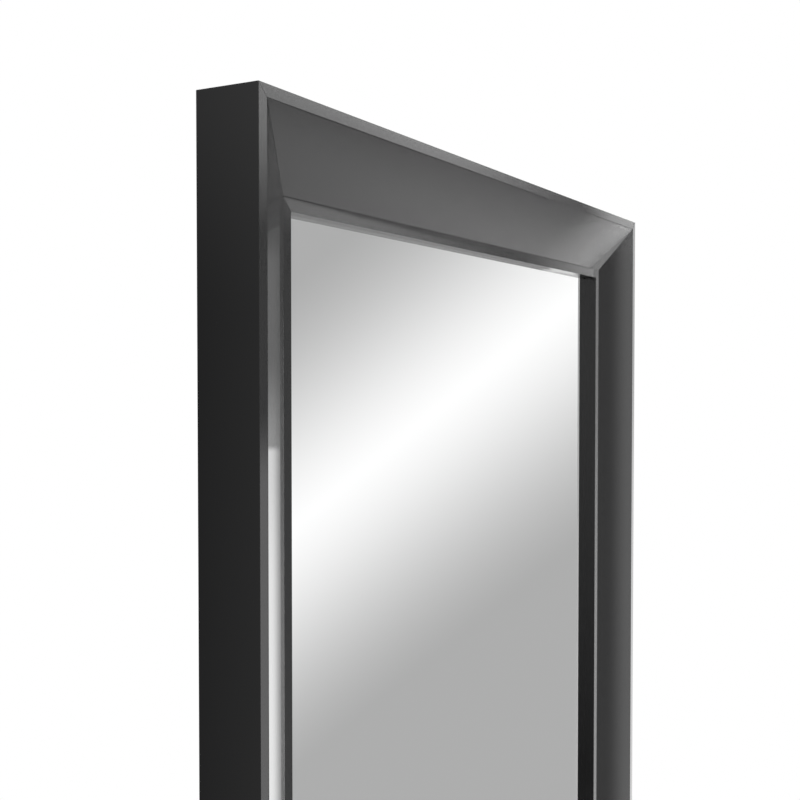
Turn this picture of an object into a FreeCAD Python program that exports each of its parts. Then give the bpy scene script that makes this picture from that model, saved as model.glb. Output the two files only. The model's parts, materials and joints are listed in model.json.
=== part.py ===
"""Full length wall mirror: a mitred bevelled frame, a silvered pane and the fittings on its back.

Millimetres. +Z is up and the mirror faces -Y. The origin lies on the wall, midway between the two
hooks that carry the frame by the rings on its stiles.
"""
import FreeCAD
import Part
import math
import os

V = FreeCAD.Vector
ALONG_Y = V(0, 1, 0)
ALONG_Z = V(0, 0, 1)
TOUCHING = 1e-6

# Frame, measured inward from its outer edge and back from its front face
FRAME_WIDTH = 650.0
FRAME_HEIGHT = 1500.0
FRAME_DEPTH = 42.0
MOULDING_WIDTH = 60.0
OUTER_LIP = 7.5
SIGHT_LIP = 8.0
BEVEL_DROP = 21.0
SIGHT_EDGE = 8.5
REBATE_BITE = 9.0
SKIRT_WIDTH = 12.0
ARRIS_RADIUS = 0.8
HOOK_DROP = 225.0

# Pane and what backs it
GLASS_THICKNESS = 4.0
GLASS_CLEARANCE = 1.5
GLASS_SEAM = 0.5
FILM_THICKNESS = 0.2
BOARD_THICKNESS = 3.0
BOARD_CLEARANCE = 1.0
BLOCK_LENGTH = 40.0

# Pan head screw, the same size throughout
SCREW_RADIUS = 1.75
SCREW_LENGTH = 16.0
SCREW_POINT = 4.0
HEAD_RADIUS = 3.6
HEAD_HEIGHT = 2.2
HEAD_ROUND = 1.6
PILOT_CLEARANCE = 0.05
HOLE_CLEARANCE = 0.35

# Corner nails and brackets
NAIL_LEG = 6.0
NAIL_THICKNESS = 0.7
NAIL_DEPTH = 10.0
NAIL_MARGIN = 2.5
BRACKET_WIDTH = 14.0
BRACKET_ARM = 62.0
BRACKET_THICKNESS = 1.6
BRACKET_END_ROUND = 6.5
BRACKET_HEEL_ROUND = 2.0
BRACKET_HOLE_FROM_END = 9.0
BRACKET_HOLE_PITCH = 27.0

# Turn buttons
BUTTON_WIDTH = 11.0
BUTTON_REACH = 24.0
BUTTON_TAIL = 6.0
BUTTON_THICKNESS = 1.2
BUTTON_END_ROUND = 5.0
BUTTON_LIFT = 1.6
BUTTON_LIFT_LENGTH = 7.0
BUTTON_INSET = 11.0
BUTTON_PLAY = 0.15
PIVOT_CLEARANCE = 0.08

# Strap hangers and their D rings
RING_WIRE_RADIUS = 1.4
RING_BOW_RADIUS = 11.0
RING_BEND_RADIUS = 3.5
RING_REST_GAP = 0.4
STRAP_WIDTH = 14.0
STRAP_LENGTH = 44.0
STRAP_THICKNESS = 1.0
STRAP_RAMP = 8.0
STRAP_CORNER = 3.0
STRAP_HOLE_FROM_END = 8.0
STRAP_HOLE_PITCH = 16.0
SIDEWAYS_HOOK_DROP = 150.0

# Wall bumpers
BUMPER_RADIUS = 4.5
BUMPER_HEIGHT = 2.0
BUMPER_ROUND = 1.0
BUMPER_FROM_END = 30.0

# Depths and insets that follow from the sizes above
GLASS_SETBACK = BEVEL_DROP + SIGHT_EDGE
FILM_SETBACK = GLASS_SETBACK + GLASS_THICKNESS
BOARD_SETBACK = FILM_SETBACK + FILM_THICKNESS
LAND_DEPTH = BOARD_SETBACK + BOARD_THICKNESS
REBATE_WALL = MOULDING_WIDTH - REBATE_BITE
LAND_MIDDLE = (SKIRT_WIDTH + REBATE_WALL) / 2
FRONT_Y = -(FRAME_DEPTH + BUMPER_HEIGHT)
CENTRE_Z = HOOK_DROP - FRAME_HEIGHT / 2
EYE_RADIUS = RING_WIRE_RADIUS + PIVOT_CLEARANCE
BAR_HEIGHT = EYE_RADIUS + STRAP_THICKNESS
RING_REACH = RING_BEND_RADIUS + RING_BOW_RADIUS
HOOK_REACH = RING_REACH - RING_WIRE_RADIUS

# Each side of the frame: its turn about Y from the top, its length and its distance from the middle
SIDES = {
    "top": (0, FRAME_WIDTH, FRAME_HEIGHT / 2),
    "right": (90, FRAME_HEIGHT, FRAME_WIDTH / 2),
    "bottom": (180, FRAME_WIDTH, FRAME_HEIGHT / 2),
    "left": (270, FRAME_HEIGHT, FRAME_WIDTH / 2),
}
# Each corner: its turn about Y from the top right, and which way it lies from the middle
CORNERS = {
    "top_right": (0, 1, 1),
    "bottom_right": (90, 1, -1),
    "bottom_left": (180, -1, -1),
    "top_left": (270, -1, 1),
}


def rounded_face(corners, to_space):
    """Face through (a, b, radius) corners, with a tangent arc at each; to_space places (a, b)."""
    rounds = []
    for index, (a, b, radius) in enumerate(corners):
        corner = V(a, b, 0)
        before = corners[index - 1]
        after = corners[(index + 1) % len(corners)]
        back = (V(before[0], before[1], 0) - corner).normalize()
        ahead = (V(after[0], after[1], 0) - corner).normalize()
        half_angle = back.getAngle(ahead) / 2
        reach = radius / math.tan(half_angle)
        bisector = (back + ahead).normalize()
        middle = corner + bisector * (radius / math.sin(half_angle) - radius)
        rounds.append((corner + back * reach, middle, corner + ahead * reach))
    edges = []
    for index, (start, middle, end) in enumerate(rounds):
        following = rounds[(index + 1) % len(rounds)][0]
        if start.distanceToPoint(end) > TOUCHING:
            edges.append(Part.Arc(to_space(start), to_space(middle), to_space(end)).toShape())
        if end.distanceToPoint(following) > TOUCHING:
            edges.append(Part.LineSegment(to_space(end), to_space(following)).toShape())
    return Part.Face(Part.Wire(edges))


def turned(corners):
    """Solid of revolution about Y through (radius, height, rounding) corners."""
    face = rounded_face(corners, lambda p: V(p.x, p.y, 0))
    return face.revolve(V(0, 0, 0), ALONG_Y, 360)


def plate(corners, thickness):
    """Flat plate standing up along Y from an outline of (x, z, rounding) corners."""
    face = rounded_face(corners, lambda p: V(p.x, 0, p.y))
    return face.extrude(ALONG_Y * thickness)


def hole(radius, depth, x=0.0, z=0.0):
    """Round cutter along Y through a plate of the given depth."""
    return Part.makeCylinder(radius, depth, V(x, 0, z), ALONG_Y)


def moved(shape, offset, turn=0):
    """Copy of a shape turned about Y, in degrees, and then shifted."""
    copy = shape.copy()
    placement = FreeCAD.Placement(offset, FreeCAD.Rotation(ALONG_Y, turn))
    copy.Placement = placement.multiply(shape.Placement)
    return copy


def on_side(shape, side):
    """Carry a shape from the bench, with the frame's outer edge along X, to one side of the frame."""
    turn, _, distance = SIDES[side]
    outward = FreeCAD.Rotation(ALONG_Y, turn).multVec(ALONG_Z * distance)
    return moved(shape, outward + V(0, FRONT_Y, CENTRE_Z), turn)


def on_land(shape, side, along, inset, turn=0, height=0.0):
    """Set a fitting on the flat land behind one side, a distance along it and in from its edge."""
    return on_side(moved(shape, V(along, LAND_DEPTH + height, -inset), turn), side)


def at_corner(shape, corner):
    """Carry a shape from the bench, with the outer corner at the origin, to one corner."""
    turn, right, up = CORNERS[corner]
    offset = V(right * FRAME_WIDTH / 2, FRONT_Y, CENTRE_Z + up * FRAME_HEIGHT / 2)
    return moved(shape, offset, turn)


def moulding(side):
    """One mitred length: flat outer lip, straight bevel, sight lip, rebate and hollowed back."""
    _, length, _ = SIDES[side]
    section = [
        (0, 0, ARRIS_RADIUS),
        (OUTER_LIP, 0, ARRIS_RADIUS),
        (MOULDING_WIDTH - SIGHT_LIP, BEVEL_DROP, 0),
        (MOULDING_WIDTH, BEVEL_DROP, ARRIS_RADIUS),
        (MOULDING_WIDTH, GLASS_SETBACK, 0),
        (REBATE_WALL, GLASS_SETBACK, 0),
        (REBATE_WALL, LAND_DEPTH, 0),
        (SKIRT_WIDTH, LAND_DEPTH, ARRIS_RADIUS),
        (SKIRT_WIDTH, FRAME_DEPTH, ARRIS_RADIUS),
        (0, FRAME_DEPTH, ARRIS_RADIUS),
    ]
    bar = rounded_face(section, lambda p: V(-length / 2, p.y, -p.x)).extrude(V(length, 0, 0))
    mitred = [
        (-length / 2, 0, 0),
        (length / 2, 0, 0),
        (length / 2 - MOULDING_WIDTH, -MOULDING_WIDTH, 0),
        (-length / 2 + MOULDING_WIDTH, -MOULDING_WIDTH, 0),
    ]
    return on_side(bar.common(plate(mitred, FRAME_DEPTH)), side)


def sheet(clearance, thickness, setback):
    """Rectangular sheet in the rebate, a clearance inside its walls."""
    width = FRAME_WIDTH - 2 * (REBATE_WALL + clearance)
    height = FRAME_HEIGHT - 2 * (REBATE_WALL + clearance)
    corner = V(-width / 2, FRONT_Y + setback, CENTRE_Z - height / 2)
    return Part.makeBox(width, thickness, height, corner)


def glass():
    """Mirror pane with its sharp edges seamed off."""
    pane = sheet(GLASS_CLEARANCE, GLASS_THICKNESS, GLASS_SETBACK)
    return pane.makeChamfer(GLASS_SEAM, pane.Edges)


def glazing_blocks(side):
    """Two blocks that fill the gap between the pane's edge and the rebate wall of one side."""
    _, length, _ = SIDES[side]
    blocks = []
    for along in (-length / 4, length / 4):
        corner = V(along - BLOCK_LENGTH / 2, GLASS_SETBACK, -(REBATE_WALL + GLASS_CLEARANCE))
        block = Part.makeBox(BLOCK_LENGTH, GLASS_THICKNESS, GLASS_CLEARANCE, corner)
        blocks.append(on_side(block, side))
    return blocks


def screw():
    """Pan head screw along Y, with the underside of its head at the origin."""
    return turned([
        (0, -SCREW_LENGTH, 0),
        (SCREW_RADIUS, SCREW_POINT - SCREW_LENGTH, 0),
        (SCREW_RADIUS, 0, 0),
        (HEAD_RADIUS, 0, 0),
        (HEAD_RADIUS, HEAD_HEIGHT, HEAD_ROUND),
        (0, HEAD_HEIGHT, 0),
    ])


def pilot():
    """Cutter for the hole that a screw's shank fills."""
    radius = SCREW_RADIUS + PILOT_CLEARANCE
    return turned([
        (0, -SCREW_LENGTH - PILOT_CLEARANCE, 0),
        (radius, SCREW_POINT - SCREW_LENGTH, 0),
        (radius, 0, 0),
        (0, 0, 0),
    ])


def corner_nails(corner):
    """Two V nails on one mitre, a leg in each length, either side of the bracket."""
    nails = []
    inner_start = REBATE_WALL - NAIL_MARGIN - NAIL_LEG
    for heel in (SKIRT_WIDTH + NAIL_MARGIN, inner_start):
        tip = heel + NAIL_LEG
        crook = heel + NAIL_THICKNESS
        outline = [(heel, heel), (tip, heel), (tip, crook), (crook, crook), (crook, tip), (heel, tip)]
        nail = plate([(-a, -b, 0) for a, b in outline], NAIL_DEPTH)
        nails.append(at_corner(moved(nail, V(0, LAND_DEPTH - NAIL_DEPTH, 0)), corner))
    return nails


def bracket_holes():
    """Hole centres of a corner bracket, in from the outer corner along each arm."""
    end = LAND_MIDDLE + BRACKET_ARM - BRACKET_HOLE_FROM_END
    first = [(end - step * BRACKET_HOLE_PITCH, LAND_MIDDLE) for step in range(2)]
    return first + [(b, a) for a, b in first]


def corner_bracket(corner):
    """Flat angle bracket over one mitre, its arms along the middle of the land."""
    near = LAND_MIDDLE - BRACKET_WIDTH / 2
    far = LAND_MIDDLE + BRACKET_WIDTH / 2
    end = LAND_MIDDLE + BRACKET_ARM
    outline = [
        (near, near, BRACKET_HEEL_ROUND),
        (end, near, BRACKET_END_ROUND),
        (end, far, BRACKET_END_ROUND),
        (far, far, BRACKET_HEEL_ROUND),
        (far, end, BRACKET_END_ROUND),
        (near, end, BRACKET_END_ROUND),
    ]
    angle = plate([(-a, -b, radius) for a, b, radius in outline], BRACKET_THICKNESS)
    for a, b in bracket_holes():
        angle = angle.cut(hole(SCREW_RADIUS + HOLE_CLEARANCE, BRACKET_THICKNESS, -a, -b))
    return at_corner(moved(angle, V(0, LAND_DEPTH, 0)), corner)


def turn_button():
    """Stamped button pointing inward from its pivot, with a lifted tip for a finger."""
    bend = BUTTON_REACH - BUTTON_LIFT_LENGTH
    side = [
        (-BUTTON_TAIL, 0, 0),
        (bend, 0, 0),
        (BUTTON_REACH, BUTTON_LIFT, 0),
        (BUTTON_REACH, BUTTON_LIFT + BUTTON_THICKNESS, 0),
        (bend, BUTTON_THICKNESS, 0),
        (-BUTTON_TAIL, BUTTON_THICKNESS, 0),
    ]
    half = BUTTON_WIDTH / 2
    strip = rounded_face(side, lambda p: V(-half, p.y, -p.x)).extrude(V(BUTTON_WIDTH, 0, 0))
    outline = [
        (-half, BUTTON_TAIL, BUTTON_END_ROUND),
        (half, BUTTON_TAIL, BUTTON_END_ROUND),
        (half, -BUTTON_REACH, BUTTON_END_ROUND),
        (-half, -BUTTON_REACH, BUTTON_END_ROUND),
    ]
    button = strip.common(plate(outline, BUTTON_LIFT + BUTTON_THICKNESS))
    return button.cut(hole(SCREW_RADIUS + PIVOT_CLEARANCE, BUTTON_THICKNESS))


def loop_face(radius, foot_height):
    """Side view of a loop about the ring's bar, with a ramp from its top down to foot_height."""
    across = STRAP_WIDTH / 2
    bar = V(0, BAR_HEIGHT, -across)
    low = V(0, BAR_HEIGHT - radius, -across)
    foot = V(-STRAP_RAMP, foot_height, -across)
    heel = V(-STRAP_RAMP, low.y, -across)
    to_foot = foot - bar
    bearing = math.atan2(to_foot.y, to_foot.x) - math.acos(radius / to_foot.Length)
    crest = bar + V(math.cos(bearing), math.sin(bearing), 0) * radius
    edges = [
        Part.LineSegment(heel, low).toShape(),
        Part.Arc(low, bar + V(radius, 0, 0), crest).toShape(),
        Part.LineSegment(crest, foot).toShape(),
    ]
    if foot.distanceToPoint(heel) > TOUCHING:
        edges.append(Part.LineSegment(foot, heel).toShape())
    return Part.Face(Part.Wire(edges))


def strap_holes():
    """Distances of a strap's screw holes behind the ring's bar."""
    last = STRAP_LENGTH - STRAP_HOLE_FROM_END
    return [last, last - STRAP_HOLE_PITCH]


def hanger_strap():
    """Steel strap folded double around a ring's bar, which lies along Z above the origin."""
    across = STRAP_WIDTH / 2
    doubled = 2 * STRAP_THICKNESS
    knuckle = loop_face(BAR_HEIGHT, doubled).extrude(ALONG_Z * STRAP_WIDTH)
    eye = loop_face(EYE_RADIUS, STRAP_THICKNESS).extrude(ALONG_Z * STRAP_WIDTH)
    outline = [
        (-STRAP_RAMP, -across, 0),
        (-STRAP_RAMP, across, 0),
        (-STRAP_LENGTH, across, STRAP_CORNER),
        (-STRAP_LENGTH, -across, STRAP_CORNER),
    ]
    strap = knuckle.fuse(plate(outline, doubled)).removeSplitter().cut(eye)
    for distance in strap_holes():
        strap = strap.cut(hole(SCREW_RADIUS + HOLE_CLEARANCE, doubled, -distance))
    return strap


def hanger_ring():
    """Bent wire D ring lying back towards the land, with its straight bar in the strap's eye."""
    half_bar = RING_BOW_RADIUS - RING_BEND_RADIUS
    bend = RING_BEND_RADIUS
    elbow = bend * math.sqrt(0.5)
    path = Part.Wire([
        Part.LineSegment(V(0, 0, -half_bar), V(0, 0, half_bar)).toShape(),
        Part.Arc(
            V(0, 0, half_bar),
            V(bend - elbow, 0, half_bar + elbow),
            V(bend, 0, RING_BOW_RADIUS),
        ).toShape(),
        Part.Arc(
            V(bend, 0, RING_BOW_RADIUS),
            V(RING_REACH, 0, 0),
            V(bend, 0, -RING_BOW_RADIUS),
        ).toShape(),
        Part.Arc(
            V(bend, 0, -RING_BOW_RADIUS),
            V(bend - elbow, 0, -half_bar - elbow),
            V(0, 0, -half_bar),
        ).toShape(),
    ])
    wire = Part.Wire(Part.makeCircle(RING_WIRE_RADIUS, V(0, 0, -half_bar), ALONG_Z))
    ring = path.makePipeShell([wire], True, False)
    lean = math.asin((BAR_HEIGHT - RING_WIRE_RADIUS - RING_REST_GAP) / RING_REACH)
    ring.rotate(V(0, 0, 0), ALONG_Z, -math.degrees(lean))
    ring.translate(V(0, BAR_HEIGHT, 0))
    return ring


def wall_bumper():
    """Rubber disc standing along Y, rounded where it meets the wall."""
    return turned([
        (0, 0, 0),
        (BUMPER_RADIUS, 0, 0),
        (BUMPER_RADIUS, BUMPER_HEIGHT, BUMPER_ROUND),
        (0, BUMPER_HEIGHT, 0),
    ])


# Each hanger: its place along its side, and the turn that points its ring up in that hang
UPRIGHT = FRAME_HEIGHT / 2 - HOOK_DROP - HOOK_REACH
SIDEWAYS = FRAME_WIDTH / 2 - SIDEWAYS_HOOK_DROP - HOOK_REACH
HANGERS = {
    "left": (UPRIGHT, 0),
    "right": (-UPRIGHT, 180),
    "top": (-SIDEWAYS, 180),
    "bottom": (SIDEWAYS, 0),
}
# Each turn button: its side and its place along that side
BUTTONS = {
    "left_upper": ("left", FRAME_HEIGHT / 4),
    "left_middle": ("left", 0.0),
    "left_lower": ("left", -FRAME_HEIGHT / 4),
    "right_upper": ("right", -FRAME_HEIGHT / 4),
    "right_middle": ("right", 0.0),
    "right_lower": ("right", FRAME_HEIGHT / 4),
    "top": ("top", 0.0),
    "bottom": ("bottom", 0.0),
}
BUTTON_SEAT = REBATE_WALL - BUTTON_INSET
BUTTON_SCREW_HEIGHT = BUTTON_THICKNESS + 2 * BUTTON_PLAY
LENGTHS = {"left_stile": "left", "right_stile": "right", "top_rail": "top", "bottom_rail": "bottom"}


def bracket_fasteners(shape):
    """Copies of a screw or its cutter at every bracket hole."""
    fasteners = []
    for corner in CORNERS:
        for a, b in bracket_holes():
            seated = moved(shape, V(-a, LAND_DEPTH + BRACKET_THICKNESS, -b))
            fasteners.append(at_corner(seated, corner))
    return fasteners


def button_fasteners(shape):
    """Copies of a screw or its cutter at every turn button's pivot."""
    return [
        on_land(shape, side, along, BUTTON_SEAT, height=BUTTON_SCREW_HEIGHT)
        for side, along in BUTTONS.values()
    ]


def hanger_fasteners(shape):
    """Copies of a screw or its cutter at every strap hole."""
    fasteners = []
    for side, (along, turn) in HANGERS.items():
        for distance in strap_holes():
            in_strap = moved(shape, V(-distance, 2 * STRAP_THICKNESS, 0))
            fasteners.append(on_land(in_strap, side, along, LAND_MIDDLE, turn))
    return fasteners


def build():
    """Every node of the mirror, by name."""
    nodes = {}
    nails = [nail for corner in CORNERS for nail in corner_nails(corner)]
    cutter = pilot()
    cutters = bracket_fasteners(cutter) + button_fasteners(cutter) + hanger_fasteners(cutter)
    for name, side in LENGTHS.items():
        nodes[name] = moulding(side).cut(nails + cutters)

    nodes["mirror_glass"] = glass()
    nodes["safety_film"] = sheet(GLASS_CLEARANCE, FILM_THICKNESS, FILM_SETBACK)
    nodes["backing_board"] = sheet(BOARD_CLEARANCE, BOARD_THICKNESS, BOARD_SETBACK)
    nodes["setting_blocks"] = Part.makeCompound(glazing_blocks("bottom"))
    spacers = [block for side in ("top", "left", "right") for block in glazing_blocks(side)]
    nodes["edge_spacers"] = Part.makeCompound(spacers)

    nodes["corner_v_nails"] = Part.makeCompound(nails)
    for corner in CORNERS:
        nodes["corner_bracket_" + corner] = corner_bracket(corner)
    fastener = screw()
    nodes["corner_bracket_screws"] = Part.makeCompound(bracket_fasteners(fastener))

    button = turn_button()
    for name, (side, along) in BUTTONS.items():
        nodes["turn_button_" + name] = on_land(button, side, along, BUTTON_SEAT, height=BUTTON_PLAY)
    nodes["turn_button_screws"] = Part.makeCompound(button_fasteners(fastener))

    strap = hanger_strap()
    ring = hanger_ring()
    for side, (along, turn) in HANGERS.items():
        nodes["hanger_strap_" + side] = on_land(strap, side, along, LAND_MIDDLE, turn)
        nodes["hanger_ring_" + side] = on_land(ring, side, along, LAND_MIDDLE, turn)
    nodes["hanger_screws"] = Part.makeCompound(hanger_fasteners(fastener))

    bumper = moved(wall_bumper(), V(0, FRAME_DEPTH, -SKIRT_WIDTH / 2))
    from_middle = FRAME_HEIGHT / 2 - BUMPER_FROM_END
    for side, up in (("left", 1), ("right", -1)):
        for end, sign in (("top", up), ("bottom", -up)):
            placed = on_side(moved(bumper, V(sign * from_middle, 0, 0)), side)
            nodes["wall_bumper_" + end + "_" + side] = placed
    return nodes


os.makedirs("parts", exist_ok=True)
for node, shape in build().items():
    shape.exportStep(os.path.join("parts", node + ".step"))
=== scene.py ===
"""Looks of a full length wall mirror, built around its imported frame.

A black lacquered frame, mitred at its corners, holds a silvered pane. A hardboard back, steel fittings and
rubber bumpers lie behind it. Metres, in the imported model's frame: +Z is up and the mirror faces -Y.
"""
from __future__ import annotations

import json
import logging
import math
from collections.abc import Mapping, Sequence
from dataclasses import dataclass, field
from enum import Enum

import bmesh
import bpy
from mathutils import Matrix, Vector

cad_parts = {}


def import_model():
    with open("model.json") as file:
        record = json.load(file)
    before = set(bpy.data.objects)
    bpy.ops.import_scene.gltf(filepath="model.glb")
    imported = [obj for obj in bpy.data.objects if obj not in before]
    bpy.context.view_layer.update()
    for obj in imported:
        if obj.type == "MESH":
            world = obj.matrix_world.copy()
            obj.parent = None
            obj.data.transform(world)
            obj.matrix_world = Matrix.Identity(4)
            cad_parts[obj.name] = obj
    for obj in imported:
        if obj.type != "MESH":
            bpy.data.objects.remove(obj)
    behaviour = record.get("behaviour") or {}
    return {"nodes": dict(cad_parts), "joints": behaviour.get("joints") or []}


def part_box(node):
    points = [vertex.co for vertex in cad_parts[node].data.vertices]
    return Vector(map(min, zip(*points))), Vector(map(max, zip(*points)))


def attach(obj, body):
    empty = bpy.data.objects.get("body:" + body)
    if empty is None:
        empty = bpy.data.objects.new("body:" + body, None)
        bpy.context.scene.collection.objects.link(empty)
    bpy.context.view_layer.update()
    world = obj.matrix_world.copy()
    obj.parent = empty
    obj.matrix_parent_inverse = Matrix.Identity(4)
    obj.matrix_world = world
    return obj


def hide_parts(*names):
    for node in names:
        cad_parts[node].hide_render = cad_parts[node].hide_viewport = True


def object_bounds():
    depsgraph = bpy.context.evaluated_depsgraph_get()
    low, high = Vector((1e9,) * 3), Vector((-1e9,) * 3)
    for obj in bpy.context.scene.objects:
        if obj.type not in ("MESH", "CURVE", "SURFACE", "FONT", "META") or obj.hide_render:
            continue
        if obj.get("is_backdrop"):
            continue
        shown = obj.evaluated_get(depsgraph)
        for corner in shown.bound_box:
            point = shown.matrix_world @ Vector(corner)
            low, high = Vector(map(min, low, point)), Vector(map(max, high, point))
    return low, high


LOG = logging.getLogger("full_length_mirror")
MM = 0.001
# Points nearer than this are one point, and an edge from this angle on, in degrees, stays sharp.
WELD = 1e-6
SHARP_ANGLE = 35.0
# Steps across an eased edge, and how strongly the larger of its faces decides how it shades.
EDGE_STEPS = 1
FLAT_WEIGHT = 100
FIXED_BODY = "frame"
PANE = "mirror_glass"
LAID_FLAT = Matrix.Rotation(math.radians(90), 4, "X")
UNIT = (0.0, 1.0)
# Most of a cloudy pattern's values lie in this range.
NOISE_SPAN = (0.3, 0.7)

Pair = tuple[float, float]
Triple = tuple[float, float, float]
Ramp = tuple[float, float, float, float]


class Slot(Enum):
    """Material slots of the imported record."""

    LACQUER = "black_lacquer"
    RUBBER = "black_rubber"
    STEEL = "zinc_plated_steel"


class Cut(Enum):
    """Ways of cutting one shape with another."""

    OUT = "DIFFERENCE"
    KEEP = "INTERSECT"


class Placing(Enum):
    """Places round the frame, each with its turn about Y from the first of its kind, in degrees."""

    def turn(self) -> Matrix:
        """Rotation that carries a shape made for the first place to this one."""
        return Matrix.Rotation(math.radians(self.value), 4, "Y")


class Side(Placing):
    """Sides of the frame, from the top."""

    TOP = 0
    RIGHT = 90
    BOTTOM = 180
    LEFT = 270


class Corner(Placing):
    """Corners of the frame, from the top right."""

    TOP_RIGHT = 0
    BOTTOM_RIGHT = 90
    BOTTOM_LEFT = 180
    TOP_LEFT = 270


LENGTHS = {
    Side.LEFT: "left_stile",
    Side.RIGHT: "right_stile",
    Side.TOP: "top_rail",
    Side.BOTTOM: "bottom_rail",
}


class Wiring:
    """Adds nodes to one tree and joins their sockets."""

    def __init__(self, tree: bpy.types.NodeTree) -> None:
        """Takes the tree that is to be wired."""
        self.tree = tree

    def node(
        self, kind: str, inputs: Mapping[str | int, object] | None = None, **settings: object
    ) -> bpy.types.Node:
        """Adds a node, sets its properties and feeds its inputs.

        Args:
            kind: Blender's name for the type of node.
            inputs: a value or a socket for each named or numbered input.
            settings: properties of the node itself.

        Returns:
            The new node.
        """
        made = self.tree.nodes.new(kind)
        for key, value in settings.items():
            setattr(made, key, value)
        for key, value in (inputs or {}).items():
            self.feed(made.inputs[key], value)
        return made

    def feed(self, socket: bpy.types.NodeSocket, value: object) -> None:
        """Links a socket to another one, or sets its constant.

        Args:
            socket: the input to feed.
            value: another socket, or a constant.
        """
        if isinstance(value, bpy.types.NodeSocket):
            self.tree.links.new(value, socket)
        else:
            socket.default_value = value

    def math(self, operation: str, *values: object) -> bpy.types.NodeSocket:
        """Result of one arithmetic step on numbers or sockets."""
        return self.node("ShaderNodeMath", dict(enumerate(values)), operation=operation).outputs[0]

    def fade(self, value: object, start: float, end: float) -> bpy.types.NodeSocket:
        """Smooth step from 0 where value is start to 1 where it is end."""
        inputs = {"Value": value, "From Min": start, "From Max": end}
        return self.node("ShaderNodeMapRange", inputs, interpolation_type="SMOOTHSTEP").outputs["Result"]

    def spread(self, value: object, source: Pair, target: Sequence[object]) -> bpy.types.NodeSocket:
        """Value carried in a straight line from one range to another."""
        names = ("Value", "From Min", "From Max", "To Min", "To Max")
        return self.node("ShaderNodeMapRange", dict(zip(names, (value, *source, *target)))).outputs["Result"]

    def between(self, share: object, first: object, second: object) -> bpy.types.NodeSocket:
        """Value that goes from first to second as share goes from 0 to 1."""
        return self.spread(share, UNIT, (first, second))

    def place(self, stretch: Triple = (1.0, 1.0, 1.0)) -> bpy.types.NodeSocket:
        """Object coordinates in metres, stretched along each axis."""
        inputs = {"Vector": self.node("ShaderNodeTexCoord").outputs["Object"], "Scale": stretch}
        return self.node("ShaderNodeMapping", inputs).outputs["Vector"]

    def blend(self, share: object, first: Triple, second: Triple) -> bpy.types.NodeSocket:
        """Colour between two others.

        Args:
            share: 0 for the first colour and 1 for the second.
            first: red, green and blue of the first colour.
            second: red, green and blue of the second colour.

        Returns:
            Socket that gives the colour.
        """
        ramp = self.node("ShaderNodeValToRGB", {"Fac": share})
        for stop, colour in zip(ramp.color_ramp.elements, (first, second)):
            stop.color = (*colour, 1.0)
        return ramp.outputs["Color"]

    def bump(self, height: object, depth: float) -> bpy.types.NodeSocket:
        """Normal of a surface that a pattern raises by up to depth."""
        return self.node("ShaderNodeBump", {"Height": height, "Distance": depth}).outputs["Normal"]


@dataclass(frozen=True)
class Grain:
    """Cloudy pattern in a surface, with lumps about one pitch across."""

    pitch: float
    detail: float
    stretch: Triple = (1.0, 1.0, 1.0)

    def pattern(self, wiring: Wiring) -> bpy.types.NodeSocket:
        """Socket that gives the pattern's value at each place on a piece."""
        inputs = {"Vector": wiring.place(self.stretch), "Scale": 1 / self.pitch, "Detail": self.detail}
        return wiring.node("ShaderNodeTexNoise", inputs).outputs["Fac"]


@dataclass(frozen=True)
class Finish:
    """Surface finish that makes one material."""

    name: str

    def material(self) -> bpy.types.Material:
        """Material of this finish, found or made.

        Returns:
            The material.
        """
        made = bpy.data.materials.get(self.name)
        if made is None:
            made = bpy.data.materials.new(self.name)
            made.use_nodes = True
            wiring = Wiring(made.node_tree)
            shader = made.node_tree.nodes["Principled BSDF"].inputs
            for name, value in self.surface(wiring).items():
                wiring.feed(shader[name], value)
        return made

    def surface(self, wiring: Wiring) -> dict[str, object]:
        """Constants and sockets for the surface shader's inputs."""
        raise NotImplementedError


@dataclass(frozen=True)
class Lacquer(Finish):
    """Sprayed black gloss lacquer with a trace of orange peel."""

    base: Triple = (0.0092, 0.0092, 0.0095)
    drift: Grain = Grain(0.15, 2.0)
    roughness: Pair = (0.027, 0.038)
    peel: Grain = Grain(0.004, 1.0)
    peel_depth: float = 0.0000004

    def surface(self, wiring: Wiring) -> dict[str, object]:
        """Even black with a slow drift in gloss and a faint ripple.

        Args:
            wiring: the material's wiring.

        Returns:
            Constants and sockets for the surface shader's inputs.
        """
        return {
            "Base Color": (*self.base, 1.0),
            "Roughness": wiring.spread(self.drift.pattern(wiring), NOISE_SPAN, self.roughness),
            "Normal": wiring.bump(self.peel.pattern(wiring), self.peel_depth),
        }


@dataclass(frozen=True)
class SealedFibre(Finish):
    """Thin matt black sealer over sawn fibreboard, on the frame's back and in its rebate."""

    dark: Triple = (0.0085, 0.0085, 0.0088)
    pale: Triple = (0.040, 0.036, 0.032)
    fibre: Grain = Grain(0.0012, 4.0)
    fibre_span: Pair = (0.35, 0.7)
    fibre_depth: float = 0.00006
    coat: Grain = Grain(0.022, 3.0)
    coat_span: Pair = (0.32, 0.68)
    thinness: Pair = (0.15, 1.0)
    roughness: Pair = (0.5, 0.74)

    def surface(self, wiring: Wiring) -> dict[str, object]:
        """Matt black that the fibres show through, most where the coat is thin.

        Args:
            wiring: the material's wiring.

        Returns:
            Constants and sockets for the surface shader's inputs.
        """
        fibre = self.fibre.pattern(wiring)
        raised = wiring.spread(fibre, self.fibre_span, UNIT)
        thin = wiring.spread(self.coat.pattern(wiring), self.coat_span, self.thinness)
        return {
            "Base Color": wiring.blend(wiring.math("MULTIPLY", raised, thin), self.dark, self.pale),
            "Roughness": wiring.spread(fibre, NOISE_SPAN, self.roughness),
            "Normal": wiring.bump(fibre, self.fibre_depth),
        }


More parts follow.
